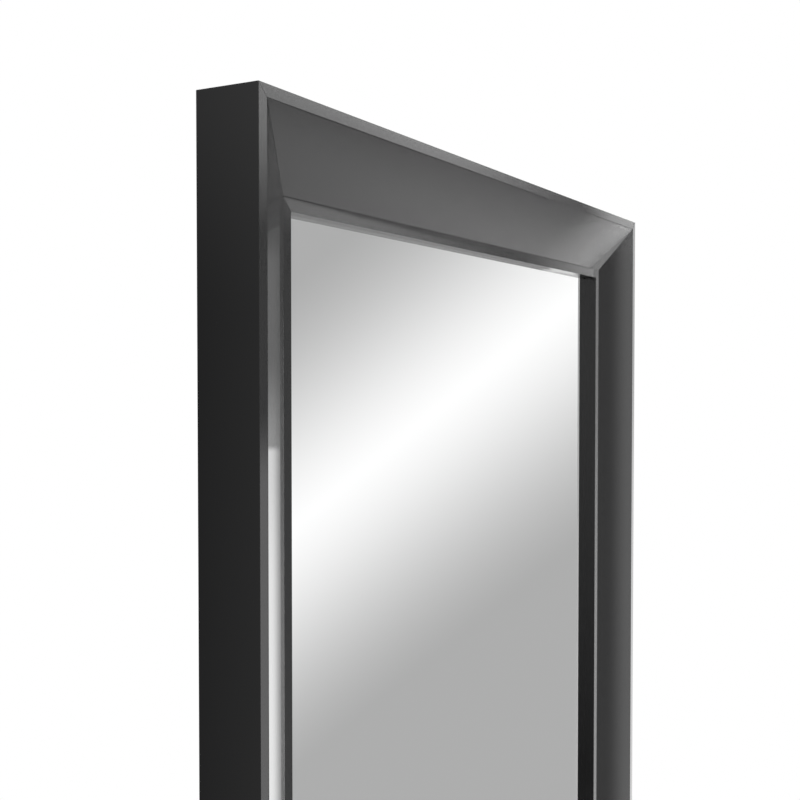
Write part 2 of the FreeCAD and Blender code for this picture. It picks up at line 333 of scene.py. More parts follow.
@dataclass(frozen=True)
class Silvering(Finish):
    """Silvered float glass with a barely visible wiped haze."""

    base: Triple = (0.955, 0.958, 0.957)
    haze: Grain = Grain(0.09, 3.0, (1.0, 1.0, 0.4))
    roughness: Pair = (0.004, 0.012)

    def surface(self, wiring: Wiring) -> dict[str, object]:
        """Polished metal with a slight drift in its clearness.

        Args:
            wiring: the material's wiring.

        Returns:
            Constants and sockets for the surface shader's inputs.
        """
        return {
            "Base Color": (*self.base, 1.0),
            "Metallic": 1.0,
            "Roughness": wiring.spread(self.haze.pattern(wiring), NOISE_SPAN, self.roughness),
        }


@dataclass(frozen=True)
class Hardboard(Finish):
    """Pressed brown fibreboard: long flecks, fine speckle and slow mottling."""

    dark: Triple = (0.165, 0.092, 0.046)
    pale: Triple = (0.37, 0.235, 0.135)
    fleck: Grain = Grain(0.0035, 3.0, (1.0, 1.0, 0.35))
    speckle: Grain = Grain(0.0011, 2.0)
    speckle_share: float = 0.5
    mottle: Grain = Grain(0.11, 3.0)
    mottle_share: float = 0.25
    tone_span: Pair = (0.32, 0.68)
    roughness: Pair = (0.5, 0.68)
    fibre_depth: float = 0.00006

    def surface(self, wiring: Wiring) -> dict[str, object]:
        """Three scales of fibre in colour, roughness and relief.

        Args:
            wiring: the material's wiring.

        Returns:
            Constants and sockets for the surface shader's inputs.
        """
        fleck, speckle = self.fleck.pattern(wiring), self.speckle.pattern(wiring)
        fibre = wiring.between(self.speckle_share, fleck, speckle)
        tone = wiring.between(self.mottle_share, fibre, self.mottle.pattern(wiring))
        return {
            "Base Color": wiring.blend(wiring.spread(tone, self.tone_span, UNIT), self.dark, self.pale),
            "Roughness": wiring.spread(fibre, NOISE_SPAN, self.roughness),
            "Normal": wiring.bump(fibre, self.fibre_depth),
        }


@dataclass(frozen=True)
class ZincPlate(Finish):
    """Bright zinc plating on rolled steel: fine rolling lines under a slight cloud."""

    dull: Triple = (0.46, 0.475, 0.50)
    bright: Triple = (0.66, 0.67, 0.685)
    cloud: Grain = Grain(0.005, 4.0)
    lines: Grain = Grain(0.0005, 2.0, (1.0, 0.05, 0.05))
    tone_span: Pair = (0.75, 1.25)
    roughness: Pair = (0.18, 0.38)
    line_depth: float = 0.000003

    def surface(self, wiring: Wiring) -> dict[str, object]:
        """Metal whose tone follows the cloud and the lines, with relief from the lines.

        Args:
            wiring: the material's wiring.

        Returns:
            Constants and sockets for the surface shader's inputs.
        """
        cloud, lines = self.cloud.pattern(wiring), self.lines.pattern(wiring)
        tone = wiring.spread(wiring.math("ADD", cloud, lines), self.tone_span, UNIT)
        return {
            "Base Color": wiring.blend(tone, self.dull, self.bright),
            "Metallic": 1.0,
            "Roughness": wiring.spread(cloud, NOISE_SPAN, self.roughness),
            "Normal": wiring.bump(lines, self.line_depth),
        }


@dataclass(frozen=True)
class MattSkin(Finish):
    """Rubber or film: one tone, lightly clouded, with a fine tooth."""

    dark: Triple = (0.012, 0.012, 0.012)
    pale: Triple = (0.028, 0.028, 0.028)
    cloud: Grain = Grain(0.003, 4.0)
    roughness: Pair = (0.62, 0.8)
    tooth_depth: float = 0.00002

    def surface(self, wiring: Wiring) -> dict[str, object]:
        """Clouded tone with its relief from the same pattern.

        Args:
            wiring: the material's wiring.

        Returns:
            Constants and sockets for the surface shader's inputs.
        """
        cloud = self.cloud.pattern(wiring)
        return {
            "Base Color": wiring.blend(cloud, self.dark, self.pale),
            "Roughness": wiring.spread(cloud, NOISE_SPAN, self.roughness),
            "Normal": wiring.bump(cloud, self.tooth_depth),
        }


@dataclass(frozen=True)
class PaleFloor(Finish):
    """Matt pale floor that clears away towards its rim."""

    tone: float = 0.82
    roughness: float = 0.8
    gloss: float = 0.1
    radius: float = 2.5
    solid_radius: float = 1.2

    def surface(self, wiring: Wiring) -> dict[str, object]:
        """Even tone, solid in the middle and clear at the rim.

        Args:
            wiring: the material's wiring.

        Returns:
            Constants and sockets for the surface shader's inputs.
        """
        flat = wiring.place((1.0, 1.0, 0.0))
        away = wiring.node("ShaderNodeVectorMath", {0: flat}, operation="LENGTH").outputs["Value"]
        return {
            "Base Color": (self.tone, self.tone, self.tone, 1.0),
            "Roughness": self.roughness,
            "Specular IOR Level": self.gloss,
            "Alpha": wiring.fade(away, self.radius, self.solid_radius),
        }


LACQUER = Lacquer("lacquer_black")
SEALER = SealedFibre("sealer_black")
SILVERING = Silvering("silvering")
BOARD = Hardboard("hardboard_brown")
ZINC = ZincPlate("zinc_plate")
RUBBER = MattSkin("rubber_black")
FILM = MattSkin("film_grey", dark=(0.38, 0.39, 0.40), pale=(0.46, 0.47, 0.48), roughness=(0.35, 0.5))
FLOOR = PaleFloor("pale_floor")


def rounded(corners: Sequence[Triple], steps: int) -> list[tuple[Vector, int]]:
    """Closed outline with an arc at each rounded corner.

    Args:
        corners: first place, second place and rounding of each corner, in order.
        steps: straight steps in each arc.

    Returns:
        Each point of the outline with the number of the corner that it belongs to.
    """
    points = []
    for index, (first, second, rounding) in enumerate(corners):
        corner = Vector((first, second))
        back = (Vector(corners[index - 1][:2]) - corner).normalized()
        ahead = (Vector(corners[(index + 1) % len(corners)][:2]) - corner).normalized()
        half = back.angle(ahead) / 2
        centre = corner + (back + ahead).normalized() * (rounding / math.sin(half))
        start = corner + back * (rounding / math.tan(half)) - centre
        end = corner + ahead * (rounding / math.tan(half)) - centre
        arc = [step / steps for step in range(steps + 1)] if rounding else []
        points += [(centre + start.slerp(end, share) * rounding, index) for share in arc]
        if not rounding:
            points.append((corner, index))
    return points


def outward(points: Sequence[Vector]) -> list[Vector]:
    """Unit directions out of a closed outline.

    Args:
        points: points of the outline, in order.

    Returns:
        The direction at each point.
    """
    area = sum(points[index - 1].cross(point) for index, point in enumerate(points))
    way = math.copysign(1.0, area)
    count = len(points)
    steps = [points[(index + 1) % count] - points[index - 1] for index in range(count)]
    return [Vector((step.y, -step.x)).normalized() * way for step in steps]


def turns(steps: int) -> list[float]:
    """Angles of equal steps round a full turn, in radians."""
    return [2 * math.pi * step / steps for step in range(steps)]


def circle(centre: Vector, radius: float, steps: int) -> list[Vector]:
    """Points of a full circle."""
    return [centre + Vector((math.cos(turn), math.sin(turn))) * radius for turn in turns(steps)]


def quarter(centre: Pair, radius: float, steps: int) -> list[Pair]:
    """Points of a quarter circle, from the right of its centre to straight above it."""
    angles = [math.radians(90) * step / steps for step in range(steps + 1)]
    return [(centre[0] + radius * math.cos(turn), centre[1] + radius * math.sin(turn)) for turn in angles]


def mended(mesh: bpy.types.Mesh) -> bpy.types.Mesh:
    """Welds a mesh's seams, turns its faces outward and shades its curves smooth.

    Args:
        mesh: the mesh to mend, which is changed.

    Returns:
        The same mesh.
    """
    shape = bmesh.new()
    shape.from_mesh(mesh)
    bmesh.ops.remove_doubles(shape, verts=shape.verts, dist=WELD)
    bmesh.ops.dissolve_degenerate(shape, edges=shape.edges, dist=WELD)
    bmesh.ops.recalc_face_normals(shape, faces=shape.faces)
    shape.to_mesh(mesh)
    shape.free()
    mesh.shade_smooth()
    mesh.set_sharp_from_angle(angle=math.radians(SHARP_ANGLE))
    return mesh


def placed(name: str, data: bpy.types.ID) -> bpy.types.Object:
    """Puts a new object in the scene.

    Args:
        name: name of the object.
        data: its mesh, light or camera.

    Returns:
        The object.
    """
    made = bpy.data.objects.new(name, data)
    bpy.context.scene.collection.objects.link(made)
    return made


def taken_off(bench: bpy.types.Object) -> bpy.types.Mesh:
    """Applies the modifiers of an object that only served to work on a mesh.

    Args:
        bench: the object, which is removed.

    Returns:
        The finished mesh, with no modifiers.
    """
    bpy.context.view_layer.update()
    graph = bpy.context.evaluated_depsgraph_get()
    evaluated = bench.evaluated_get(graph)
    mesh = bpy.data.meshes.new_from_object(evaluated, preserve_all_data_layers=True, depsgraph=graph)
    bpy.data.objects.remove(bench)
    return mesh


def evened(mesh: bpy.types.Mesh) -> bpy.types.Mesh:
    """Makes flat faces shade flat right up to their eased edges.

    Args:
        mesh: a mesh with eased edges.

    Returns:
        A new mesh.
    """
    bench = placed("bench", mesh)
    even = bench.modifiers.new("even", "WEIGHTED_NORMAL")
    even.keep_sharp = True
    even.weight = FLAT_WEIGHT
    return taken_off(bench)


def carved(mesh: bpy.types.Mesh, tool: bpy.types.Mesh, way: Cut = Cut.OUT) -> bpy.types.Mesh:
    """Mesh with a tool's shape taken out of it, or kept to it.

    Args:
        mesh: the work.
        tool: a closed shape.
        way: what the tool does to the work.

    Returns:
        A new mesh.
    """
    bench = placed("bench", mesh)
    cutter = placed("cutter", tool)
    cut = bench.modifiers.new("cut", "BOOLEAN")
    cut.operation = way.value
    cut.object = cutter
    cut.solver = "EXACT"
    result = taken_off(bench)
    bpy.data.objects.remove(cutter)
    return mended(result)


def stamped(
    outline: Sequence[Vector], thickness: float, edge: float, holes: Sequence[Sequence[Vector]] = ()
) -> bpy.types.Mesh:
    """Plate in X and Y with eased edges, its thickness centred on Z.

    Args:
        outline: points of the plate's rim.
        thickness: full thickness.
        edge: radius of the eased edges.
        holes: points of each hole's rim.

    Returns:
        A closed mesh.
    """
    curve = bpy.data.curves.new("stamping", "CURVE")
    curve.dimensions = "2D"
    curve.fill_mode = "BOTH"
    curve.extrude = thickness / 2 - edge
    curve.bevel_depth = edge
    curve.bevel_resolution = EDGE_STEPS
    curve.offset = -edge
    for rim in (outline, *holes):
        spline = curve.splines.new("POLY")
        spline.points.add(len(rim) - 1)
        for point, place in zip(spline.points, rim):
            point.co = (place.x, place.y, 0.0, 1.0)
        spline.use_cyclic_u = True
    pattern = bpy.data.objects.new("stamping", curve)
    mesh = bpy.data.meshes.new_from_object(pattern)
    bpy.data.objects.remove(pattern)
    bpy.data.curves.remove(curve)
    return mended(mesh)


def lathed(profile: Sequence[Pair], steps: int) -> bpy.types.Mesh:
    """Solid of revolution about Y.

    Args:
        profile: radius and height of each ring, with a radius of 0 at both ends.
        steps: faces in one turn.

    Returns:
        A closed mesh.
    """
    shape = bmesh.new()
    rings = []
    for radius, height in profile:
        count = steps if radius > 0 else 1
        places = [(radius * math.cos(turn), height, radius * math.sin(turn)) for turn in turns(steps)]
        rings.append([shape.verts.new(place) for place in places[:count]])
    for lower, upper in zip(rings, rings[1:]):
        for step in range(steps):
            after = (step + 1) % steps
            near = [ring[step % len(ring)] for ring in (lower, upper)]
            far = [ring[after % len(ring)] for ring in (upper, lower)]
            corners = list(dict.fromkeys(near + far))
            shape.faces.new(corners)
    mesh = bpy.data.meshes.new("lathed")
    shape.to_mesh(mesh)
    shape.free()
    return mended(mesh)


def wire_loop(path: Sequence[Vector], radius: float, steps: int) -> bpy.types.Mesh:
    """Round wire bent along a closed outline in X and Z.

    Args:
        path: points of the wire's middle line.
        radius: radius of the wire.
        steps: faces round the wire.

    Returns:
        A closed mesh.
    """
    shape = bmesh.new()
    rings = []
    for place, out in zip(path, outward(path)):
        ring = []
        for turn in turns(steps):
            across = place + out * (radius * math.cos(turn))
            ring.append(shape.verts.new((across.x, radius * math.sin(turn), across.y)))
        rings.append(ring)
    for index, ring in enumerate(rings):
        before = rings[index - 1]
        for step in range(steps):
            after = (step + 1) % steps
            shape.faces.new((before[step], before[after], ring[after], ring[step]))
    mesh = bpy.data.meshes.new("wire_loop")
    shape.to_mesh(mesh)
    shape.free()
    return mended(mesh)


def moved(mesh: bpy.types.Mesh, placement: Matrix) -> bpy.types.Mesh:
    """Copy of a mesh in another place.

    Args:
        mesh: the mesh, which stays as it is.
        placement: where the copy goes.

    Returns:
        The copy.
    """
    copy = mesh.copy()
    copy.transform(placement)
    return copy


def geometry_tree(name: str, sockets: Mapping[str, str]) -> bpy.types.NodeTree:
    """Empty geometry node tree with one output.

    Args:
        name: name of the tree.
        sockets: kind of each input, by the input's name.

    Returns:
        The tree.
    """
    tree = bpy.data.node_groups.new(name, "GeometryNodeTree")
    for label, kind in sockets.items():
        tree.interface.new_socket(label, in_out="INPUT", socket_type="NodeSocket" + kind)
    tree.interface.new_socket("Geometry", in_out="OUTPUT", socket_type="NodeSocketGeometry")
    return tree


def grown(mesh: bpy.types.Mesh, tree: bpy.types.NodeTree, inputs: Mapping[str, object]) -> bpy.types.Object:
    """Bench object whose mesh goes through a geometry node tree.

    Args:
        mesh: what the tree starts from.
        tree: a geometry node tree.
        inputs: a value for each of the tree's named inputs.

    Returns:
        The bench object, with its modifier set up but not yet evaluated.
    """
    bench = placed("bench", mesh)
    modifier = bench.modifiers.new(tree.name, "NODES")
    modifier.node_group = tree
    for item in tree.interface.items_tree:
        if item.in_out == "INPUT" and item.name in inputs:
            modifier[item.identifier] = inputs[item.name]
    return bench


def seat(
    name: str, mesh: bpy.types.Mesh, nodes: Sequence[str], body: str = FIXED_BODY
) -> bpy.types.Object:
    """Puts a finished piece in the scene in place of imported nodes.

    Args:
        name: name of the piece.
        mesh: its mesh, in place.
        nodes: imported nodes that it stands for.
        body: body that it moves with.

    Returns:
        The piece.
    """
    mesh.name = name
    piece = placed(name, mesh)
    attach(piece, body)
    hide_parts(*nodes)
    triangles = sum(len(face.vertices) - 2 for face in mesh.polygons)
    LOG.info("%s rides on %s with %d triangles", name, body, triangles)
    return piece


def dressed(mesh: bpy.types.Mesh, finish: Finish) -> bpy.types.Mesh:
    """Gives a mesh one finish all over.

    Args:
        mesh: the mesh, which is changed.
        finish: its finish.

    Returns:
        The same mesh.
    """
    mesh.materials.clear()
    mesh.materials.append(finish.material())
    return mesh


def pivots(joints: Sequence[Mapping[str, object]], prefix: str) -> dict[str, Vector]:
    """Pivots of the moving bodies whose names start alike.

    Args:
        joints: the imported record's joints.
        prefix: how the bodies' names start.

    Returns:
        Each pivot, by the rest of its body's name.
    """
    found = {joint["child"]: Vector(joint["pos_m"]) for joint in joints}
    return {body.removeprefix(prefix): place for body, place in found.items() if body.startswith(prefix)}


@dataclass(frozen=True)
class Layout:
    """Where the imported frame's planes and edges lie."""

    low: Vector
    high: Vector
    moulding: float
    glass_y: float
    land_y: float

    @classmethod
    def read(cls) -> Layout:
        """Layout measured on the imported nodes.

        Returns:
            The layout.
        """
        left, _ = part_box("left_stile")
        rail_low, rail_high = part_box("top_rail")
        _, right_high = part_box("right_stile")
        pane_low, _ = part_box("mirror_glass")
        _, board_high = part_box("backing_board")
        return cls(left, right_high, rail_high.z - rail_low.z, pane_low.y, board_high.y)

    @property
    def middle(self) -> Vector:
        """Middle of the frame's front."""
        return Vector(((self.low.x + self.high.x) / 2, self.low.y, (self.low.z + self.high.z) / 2))

    def length(self, side: Side) -> float:
        """Outside length of one side."""
        upright = side in (Side.LEFT, Side.RIGHT)
        return self.high.z - self.low.z if upright else self.high.x - self.low.x

    def edge(self, side: Side) -> Vector:
        """Middle of one side's outer edge, at the front."""
        across = Side.TOP if side in (Side.LEFT, Side.RIGHT) else Side.LEFT
        return self.middle + side.turn().to_3x3() @ Vector((0, 0, self.length(across) / 2))

    def corner(self, corner: Corner) -> Vector:
        """One outer corner, on the land behind the frame.

        Args:
            corner: which corner.

        Returns:
            Its place.
        """
        x = self.high.x if corner in (Corner.TOP_RIGHT, Corner.BOTTOM_RIGHT) else self.low.x
        z = self.high.z if corner in (Corner.TOP_RIGHT, Corner.TOP_LEFT) else self.low.z
        return Vector((x, self.land_y, z))


@dataclass
class MitredFrame:
    """Four bevelled lengths with eased mitres, made by one geometry node tree."""

    layout: Layout
    outer_lip: float = 7.5 * MM
    sight_lip: float = 8.0 * MM
    bevel_drop: float = 21.0 * MM
    rebate_bite: float = 9.0 * MM
    skirt: float = 12.0 * MM
    arris: float = 0.2 * MM
    sight_arris: float = 0.1 * MM
    crease: float = 2.0 * MM
    arris_steps: int = 6
    mitre_easing: float = 0.15 * MM
    sharp_angle: float = 20.0
    behind_share: float = 0.25

    def section(self) -> bpy.types.Mesh:
        """Outline of the moulding, inward on X and back on Y, with what its corners need to know.

        Returns:
            Points and edges of the outline, each point with its way out and whether it lies behind.
        """
        width = self.layout.moulding
        depth = self.layout.high.y - self.layout.low.y
        glass = self.layout.glass_y - self.layout.low.y
        land = self.layout.land_y - self.layout.low.y
        wall = width - self.rebate_bite
        corners = [
            (0.0, 0.0, self.arris),
            (self.outer_lip, 0.0, self.crease),
            (width - self.sight_lip, self.bevel_drop, self.crease),
            (width, self.bevel_drop, self.sight_arris),
            (width, glass, 0.0),
            (wall, glass, 0.0),
            (wall, land, 0.0),
            (self.skirt, land, self.arris),
            (self.skirt, depth, self.arris),
            (0.0, depth, self.arris),
        ]
        first_behind, last_behind = 5, 8
        points = rounded(corners, self.arris_steps)
        places = [place for place, _ in points]
        count = len(places)
        mesh = bpy.data.meshes.new("moulding_section")
        edges = [(index, (index + 1) % count) for index in range(count)]
        mesh.from_pydata([(*place, 0.0) for place in places], edges, [])
        out = mesh.attributes.new("outward", "FLOAT_VECTOR", "POINT")
        out.data.foreach_set("vector", [value for way in outward(places) for value in (*way, 0.0)])
        behind = mesh.attributes.new("behind", "FLOAT", "POINT")
        behind.data.foreach_set("value", [float(first_behind <= own <= last_behind) for _, own in points])
        return mesh

    def tree(self) -> bpy.types.NodeTree:
        """Node tree that runs a section along a length, cuts its mitres and finishes it.

        Returns:
            The tree.
        """
        tree = geometry_tree(
            "mitred_length",
            {
                "Section": "Geometry",
                "Length": "Float",
                "Mitre Easing": "Float",
                "Turn": "Float",
                "Place": "Vector",
                "Face Finish": "Material",
                "Back Finish": "Material",
            },
        )
        wiring = Wiring(tree)
        given = wiring.node("NodeGroupInput").outputs
        bar, station = self.swept_bar(wiring, given["Section"])
        place = self.mitred_place(wiring, given, station)
        mitred = wiring.node("GeometryNodeSetPosition", {"Geometry": bar, "Position": place})
        smooth = wiring.node("GeometryNodeSetShadeSmooth", {"Geometry": mitred.outputs[0]}, domain="FACE")
        angle = wiring.node("GeometryNodeInputMeshEdgeAngle").outputs["Unsigned Angle"]
        sharp = wiring.math("GREATER_THAN", angle, math.radians(self.sharp_angle))
        creased = wiring.node(
            "GeometryNodeSetShadeSmooth",
            {"Geometry": smooth.outputs[0], "Selection": sharp, "Shade Smooth": False},
            domain="EDGE",
        )
        turn = wiring.node("ShaderNodeCombineXYZ", {"Y": given["Turn"]}).outputs[0]
        carried = wiring.node(
            "GeometryNodeTransform",
            {"Geometry": creased.outputs[0], "Translation": given["Place"], "Rotation": turn},
        )
        plain = wiring.node("GeometryNodeRealizeInstances", {"Geometry": carried.outputs[0]})
        faced = wiring.node(
            "GeometryNodeSetMaterial", {"Geometry": plain.outputs[0], "Material": given["Face Finish"]}
        )
        behind = wiring.node("GeometryNodeInputNamedAttribute", {"Name": "behind"}, data_type="FLOAT")
        hidden = wiring.math("GREATER_THAN", behind.outputs["Attribute"], self.behind_share)
        backed = wiring.node(
            "GeometryNodeSetMaterial",
            {"Geometry": faced.outputs[0], "Selection": hidden, "Material": given["Back Finish"]},
        )
        wiring.node("NodeGroupOutput", {"Geometry": backed.outputs[0]})
        return tree

    @staticmethod
    def swept_bar(
        wiring: Wiring, section: bpy.types.NodeSocket
    ) -> tuple[bpy.types.NodeSocket, bpy.types.NodeSocket]:
        """Square-ended bar along Z with two rings of points at each end.

        Args:
            wiring: the tree's wiring.
            section: socket that gives the section's outline.

        Returns:
            The bar, and the share of its length at each point.
        """
        rings = 4
        profile = wiring.node("GeometryNodeMeshToCurve", {"Mesh": section}).outputs["Curve"]
        line = wiring.node("GeometryNodeCurvePrimitiveLine", {"End": (0.0, 0.0, 1.0)}).outputs["Curve"]
        path = wiring.node("GeometryNodeResampleCurve", {"Curve": line, "Count": rings}).outputs["Curve"]
        noted = wiring.node("GeometryNodeCaptureAttribute", {"Geometry": path}, domain="POINT")
        noted.capture_items.new("FLOAT", "Station")
        share = wiring.node("GeometryNodeSplineParameter").outputs["Factor"]
        wiring.feed(noted.inputs["Station"], share)
        bar = wiring.node(
            "GeometryNodeCurveToMesh",
            {"Curve": noted.outputs["Geometry"], "Profile Curve": profile, "Fill Caps": True},
        )
        return bar.outputs["Mesh"], noted.outputs["Station"]

    @staticmethod
    def mitred_place(
        wiring: Wiring, given: bpy.types.NodeOutputs, station: bpy.types.NodeSocket
    ) -> bpy.types.NodeSocket:
        """Place of each point of the bar once its ends are cut at 45 degrees and their edges eased.

        Args:
            wiring: the tree's wiring.
            given: the tree's inputs.
            station: share of the bar's length at each point.

        Returns:
            The place, with the length along X, back on Y and inward on -Z.
        """
        half_way, last_ring = 0.5, 0.4
        from_middle = wiring.math("SUBTRACT", station, half_way)
        way = wiring.math("SIGN", from_middle)
        at_tip = wiring.math("GREATER_THAN", wiring.math("ABSOLUTE", from_middle), last_ring)
        pinch = wiring.math("MULTIPLY", at_tip, given["Mitre Easing"])
        step_back = wiring.math("SUBTRACT", given["Mitre Easing"], pinch)
        named = wiring.node("GeometryNodeInputNamedAttribute", {"Name": "outward"}, data_type="FLOAT_VECTOR")
        out = wiring.node("ShaderNodeSeparateXYZ", {"Vector": named.outputs["Attribute"]}).outputs
        position = wiring.node("GeometryNodeInputPosition").outputs["Position"]
        flat = wiring.node("ShaderNodeSeparateXYZ", {"Vector": position}).outputs
        inward = wiring.math("SUBTRACT", flat["X"], wiring.math("MULTIPLY", out["X"], pinch))
        back = wiring.math("SUBTRACT", flat["Y"], wiring.math("MULTIPLY", out["Y"], pinch))
        half = wiring.math("MULTIPLY", given["Length"], half_way)
        reach = wiring.math("SUBTRACT", wiring.math("SUBTRACT", half, inward), step_back)
        along = wiring.math("MULTIPLY", way, reach)
        down = wiring.math("MULTIPLY", inward, -1.0)
        return wiring.node("ShaderNodeCombineXYZ", {"X": along, "Y": back, "Z": down}).outputs["Vector"]

    def build(self) -> dict[str, bpy.types.Object]:
        """Makes and seats the four lengths.

        Returns:
            The lengths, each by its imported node.
        """
        tree = self.tree()
        section = self.section()
        pieces = {}
        for side, node in LENGTHS.items():
            inputs = {
                "Length": self.layout.length(side),
                "Mitre Easing": self.mitre_easing,
                "Turn": math.radians(side.value),
                "Place": self.layout.edge(side),
                "Face Finish": LACQUER.material(),
                "Back Finish": SEALER.material(),
            }
            mesh = evened(taken_off(grown(section.copy(), tree, inputs)))
            pieces[node] = seat("lacquered_" + node, mesh, [node])
        return pieces


@dataclass
class Pane:
    """Packed sheets and packers that lie in the rebate, dressed where they are."""

    nodes: Mapping[str, bpy.types.Object]
    finishes: Mapping[str, Finish] = field(
        default_factory=lambda: {
            PANE: SILVERING,
            "safety_film": FILM,
            "backing_board": BOARD,
            "setting_blocks": RUBBER,
            "edge_spacers": RUBBER,
        }
    )

    def build(self) -> None:
        """Dresses each node."""
        for name, finish in self.finishes.items():
            for place in self.nodes[name].material_slots:
                place.material = finish.material()
            LOG.info("%s keeps its packed shape, dressed as %s", name, finish.name)


@dataclass
class Fasteners:
    """Screws and nails, scattered by one geometry node tree."""

    layout: Layout
    shank_radius: float = 1.75 * MM
    shank_length: float = 16.0 * MM
    point_length: float = 4.0 * MM
    point_share: float = 0.6
    head_radius: float = 3.6 * MM
    head_height: float = 2.2 * MM
    head_round: float = 1.6 * MM
    recess_reach: float = 1.9 * MM
    recess_width: float = 0.75 * MM
    recess_depth: float = 1.3 * MM
    recess_taper: float = 0.45
    thread_pitch: float = 1.4 * MM
    thread_height: float = 0.35 * MM
    nail_leg: float = 6.0 * MM
    nail_thickness: float = 0.7 * MM
    nail_edge: float = 0.05 * MM
    nail_depth: float = 10.0 * MM
    nail_proud: float = 0.15 * MM
    nail_heels: Pair = (14.5 * MM, 42.5 * MM)
    steps: int = 28
    arc_steps: int = 5
    seed: int = 11

    def screw(self) -> bpy.types.Mesh:
        """Pan head screw along Y with a cross recess, the underside of its head at the origin.

        Returns:
            A closed mesh.
        """
        crest, root = self.shank_radius, self.shank_radius - self.thread_height
        thread = ((0.25, root), (0.5, crest), (0.75, root))
        height = self.point_length - self.shank_length
        profile = [(0.0, -self.shank_length), (crest * self.point_share, height)]
        while height < -2 * self.thread_pitch:
            profile += [(radius, height + share * self.thread_pitch) for share, radius in thread]
            height += self.thread_pitch
        profile += [(crest, -self.thread_pitch), (crest, 0.0), (self.head_radius, 0.0)]
        centre = (self.head_radius - self.head_round, self.head_height - self.head_round)
        profile += quarter(centre, self.head_round, self.arc_steps)
        profile.append((0.0, self.head_height))
        return evened(carved(lathed(profile, self.steps), self.cross_recess()))

    def cross_recess(self) -> bpy.types.Mesh:
        """Cutter for the recess: a cross that tapers into the head.

        Returns:
            A closed mesh.
        """
        reach, half = self.recess_reach, self.recess_width / 2
        cross = [
            (reach, -half), (reach, half), (half, half), (half, reach), (-half, reach), (-half, half),
            (-reach, half), (-reach, -half), (-half, -half), (-half, -reach), (half, -reach), (half, -half),
        ]
        top = self.head_height + self.recess_depth
        floor = self.head_height - self.recess_depth
        count = len(cross)
        verts = [(x * (2 - self.recess_taper), top, z * (2 - self.recess_taper)) for x, z in cross]
        verts += [(x * self.recess_taper, floor, z * self.recess_taper) for x, z in cross]
        faces = [tuple(range(count)), tuple(reversed(range(count, 2 * count)))]
        faces += [(i, i + count, (i + 1) % count + count, (i + 1) % count) for i in range(count)]
        mesh = bpy.data.meshes.new("cross_recess")
        mesh.from_pydata(verts, [], faces)
        return mended(mesh)

    def nail(self) -> bpy.types.Mesh:
        """V nail with its crook towards the corner, its top just proud of the land.

        Returns:
            A closed mesh.
        """
        leg, thick = self.nail_leg, self.nail_thickness
        outline = [(0, 0), (leg, 0), (leg, thick), (thick, thick), (thick, leg), (0, leg)]
        strip = stamped([Vector((-a, -b)) for a, b in outline], self.nail_depth, self.nail_edge)
        lift = Matrix.Translation((0, self.nail_proud - self.nail_depth / 2, 0))
        return moved(strip, lift @ LAID_FLAT)

    def tree(self) -> bpy.types.NodeTree:
        """Node tree that sets a fastener on each point, turned as the point says and spun at random.

        Returns:
            The tree.
        """
        tree = geometry_tree(
            "set_fasteners",
            {
                "Places": "Geometry",
                "Fastener": "Object",
                "Spin": "Float",
                "Seed": "Int",
                "Finish": "Material",
            },
        )
        wiring = Wiring(tree)
        given = wiring.node("NodeGroupInput").outputs
        fastener = wiring.node("GeometryNodeObjectInfo", {"Object": given["Fastener"]}).outputs["Geometry"]
        spin = wiring.node("FunctionNodeRandomValue", data_type="FLOAT")
        # Which of the node's sockets hold a plain number's upper bound and its result.
        most, value = 3, 1
        wiring.feed(spin.inputs[most], given["Spin"])
        wiring.feed(spin.inputs["Seed"], given["Seed"])
        turn = wiring.node("GeometryNodeInputNamedAttribute", {"Name": "turn"}, data_type="FLOAT")
        angle = wiring.math("ADD", turn.outputs["Attribute"], spin.outputs[value])
        euler = wiring.node("ShaderNodeCombineXYZ", {"Y": angle}).outputs["Vector"]
        rotation = wiring.node("FunctionNodeEulerToRotation", {"Euler": euler}).outputs["Rotation"]
        spread = wiring.node(
            "GeometryNodeInstanceOnPoints",
            {"Points": given["Places"], "Instance": fastener, "Rotation": rotation},
        )
        plain = wiring.node("GeometryNodeRealizeInstances", {"Geometry": spread.outputs["Instances"]})
        finished = wiring.node(
            "GeometryNodeSetMaterial", {"Geometry": plain.outputs[0], "Material": given["Finish"]}
        )
        wiring.node("NodeGroupOutput", {"Geometry": finished.outputs[0]})
        return tree

    def scatter(
        self,
        tree: bpy.types.NodeTree,
        name: str,
        shape: bpy.types.Mesh,
        places: Sequence[tuple[Vector, float]],
        spin: float,
        node: str,
    ) -> None:
        """Sets one kind of fastener in all its places, as one piece.

        Args:
            tree: the node tree that sets fasteners.
            name: name of the piece.
            shape: mesh of one fastener.
            places: where each goes, and its turn about Y in radians.
            spin: largest random turn added, in radians.
            node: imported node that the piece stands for.
        """
        points = bpy.data.meshes.new("fastener_places")
        points.from_pydata([place for place, _ in places], [], [])
        turn = points.attributes.new("turn", "FLOAT", "POINT")
        turn.data.foreach_set("value", [own for _, own in places])
        pattern = placed("pattern", dressed(shape, ZINC))
        inputs = {"Fastener": pattern, "Spin": spin, "Seed": self.seed, "Finish": ZINC.material()}
        mesh = taken_off(grown(points, tree, inputs))
        bpy.data.objects.remove(pattern)
        seat(name, mesh, [node])

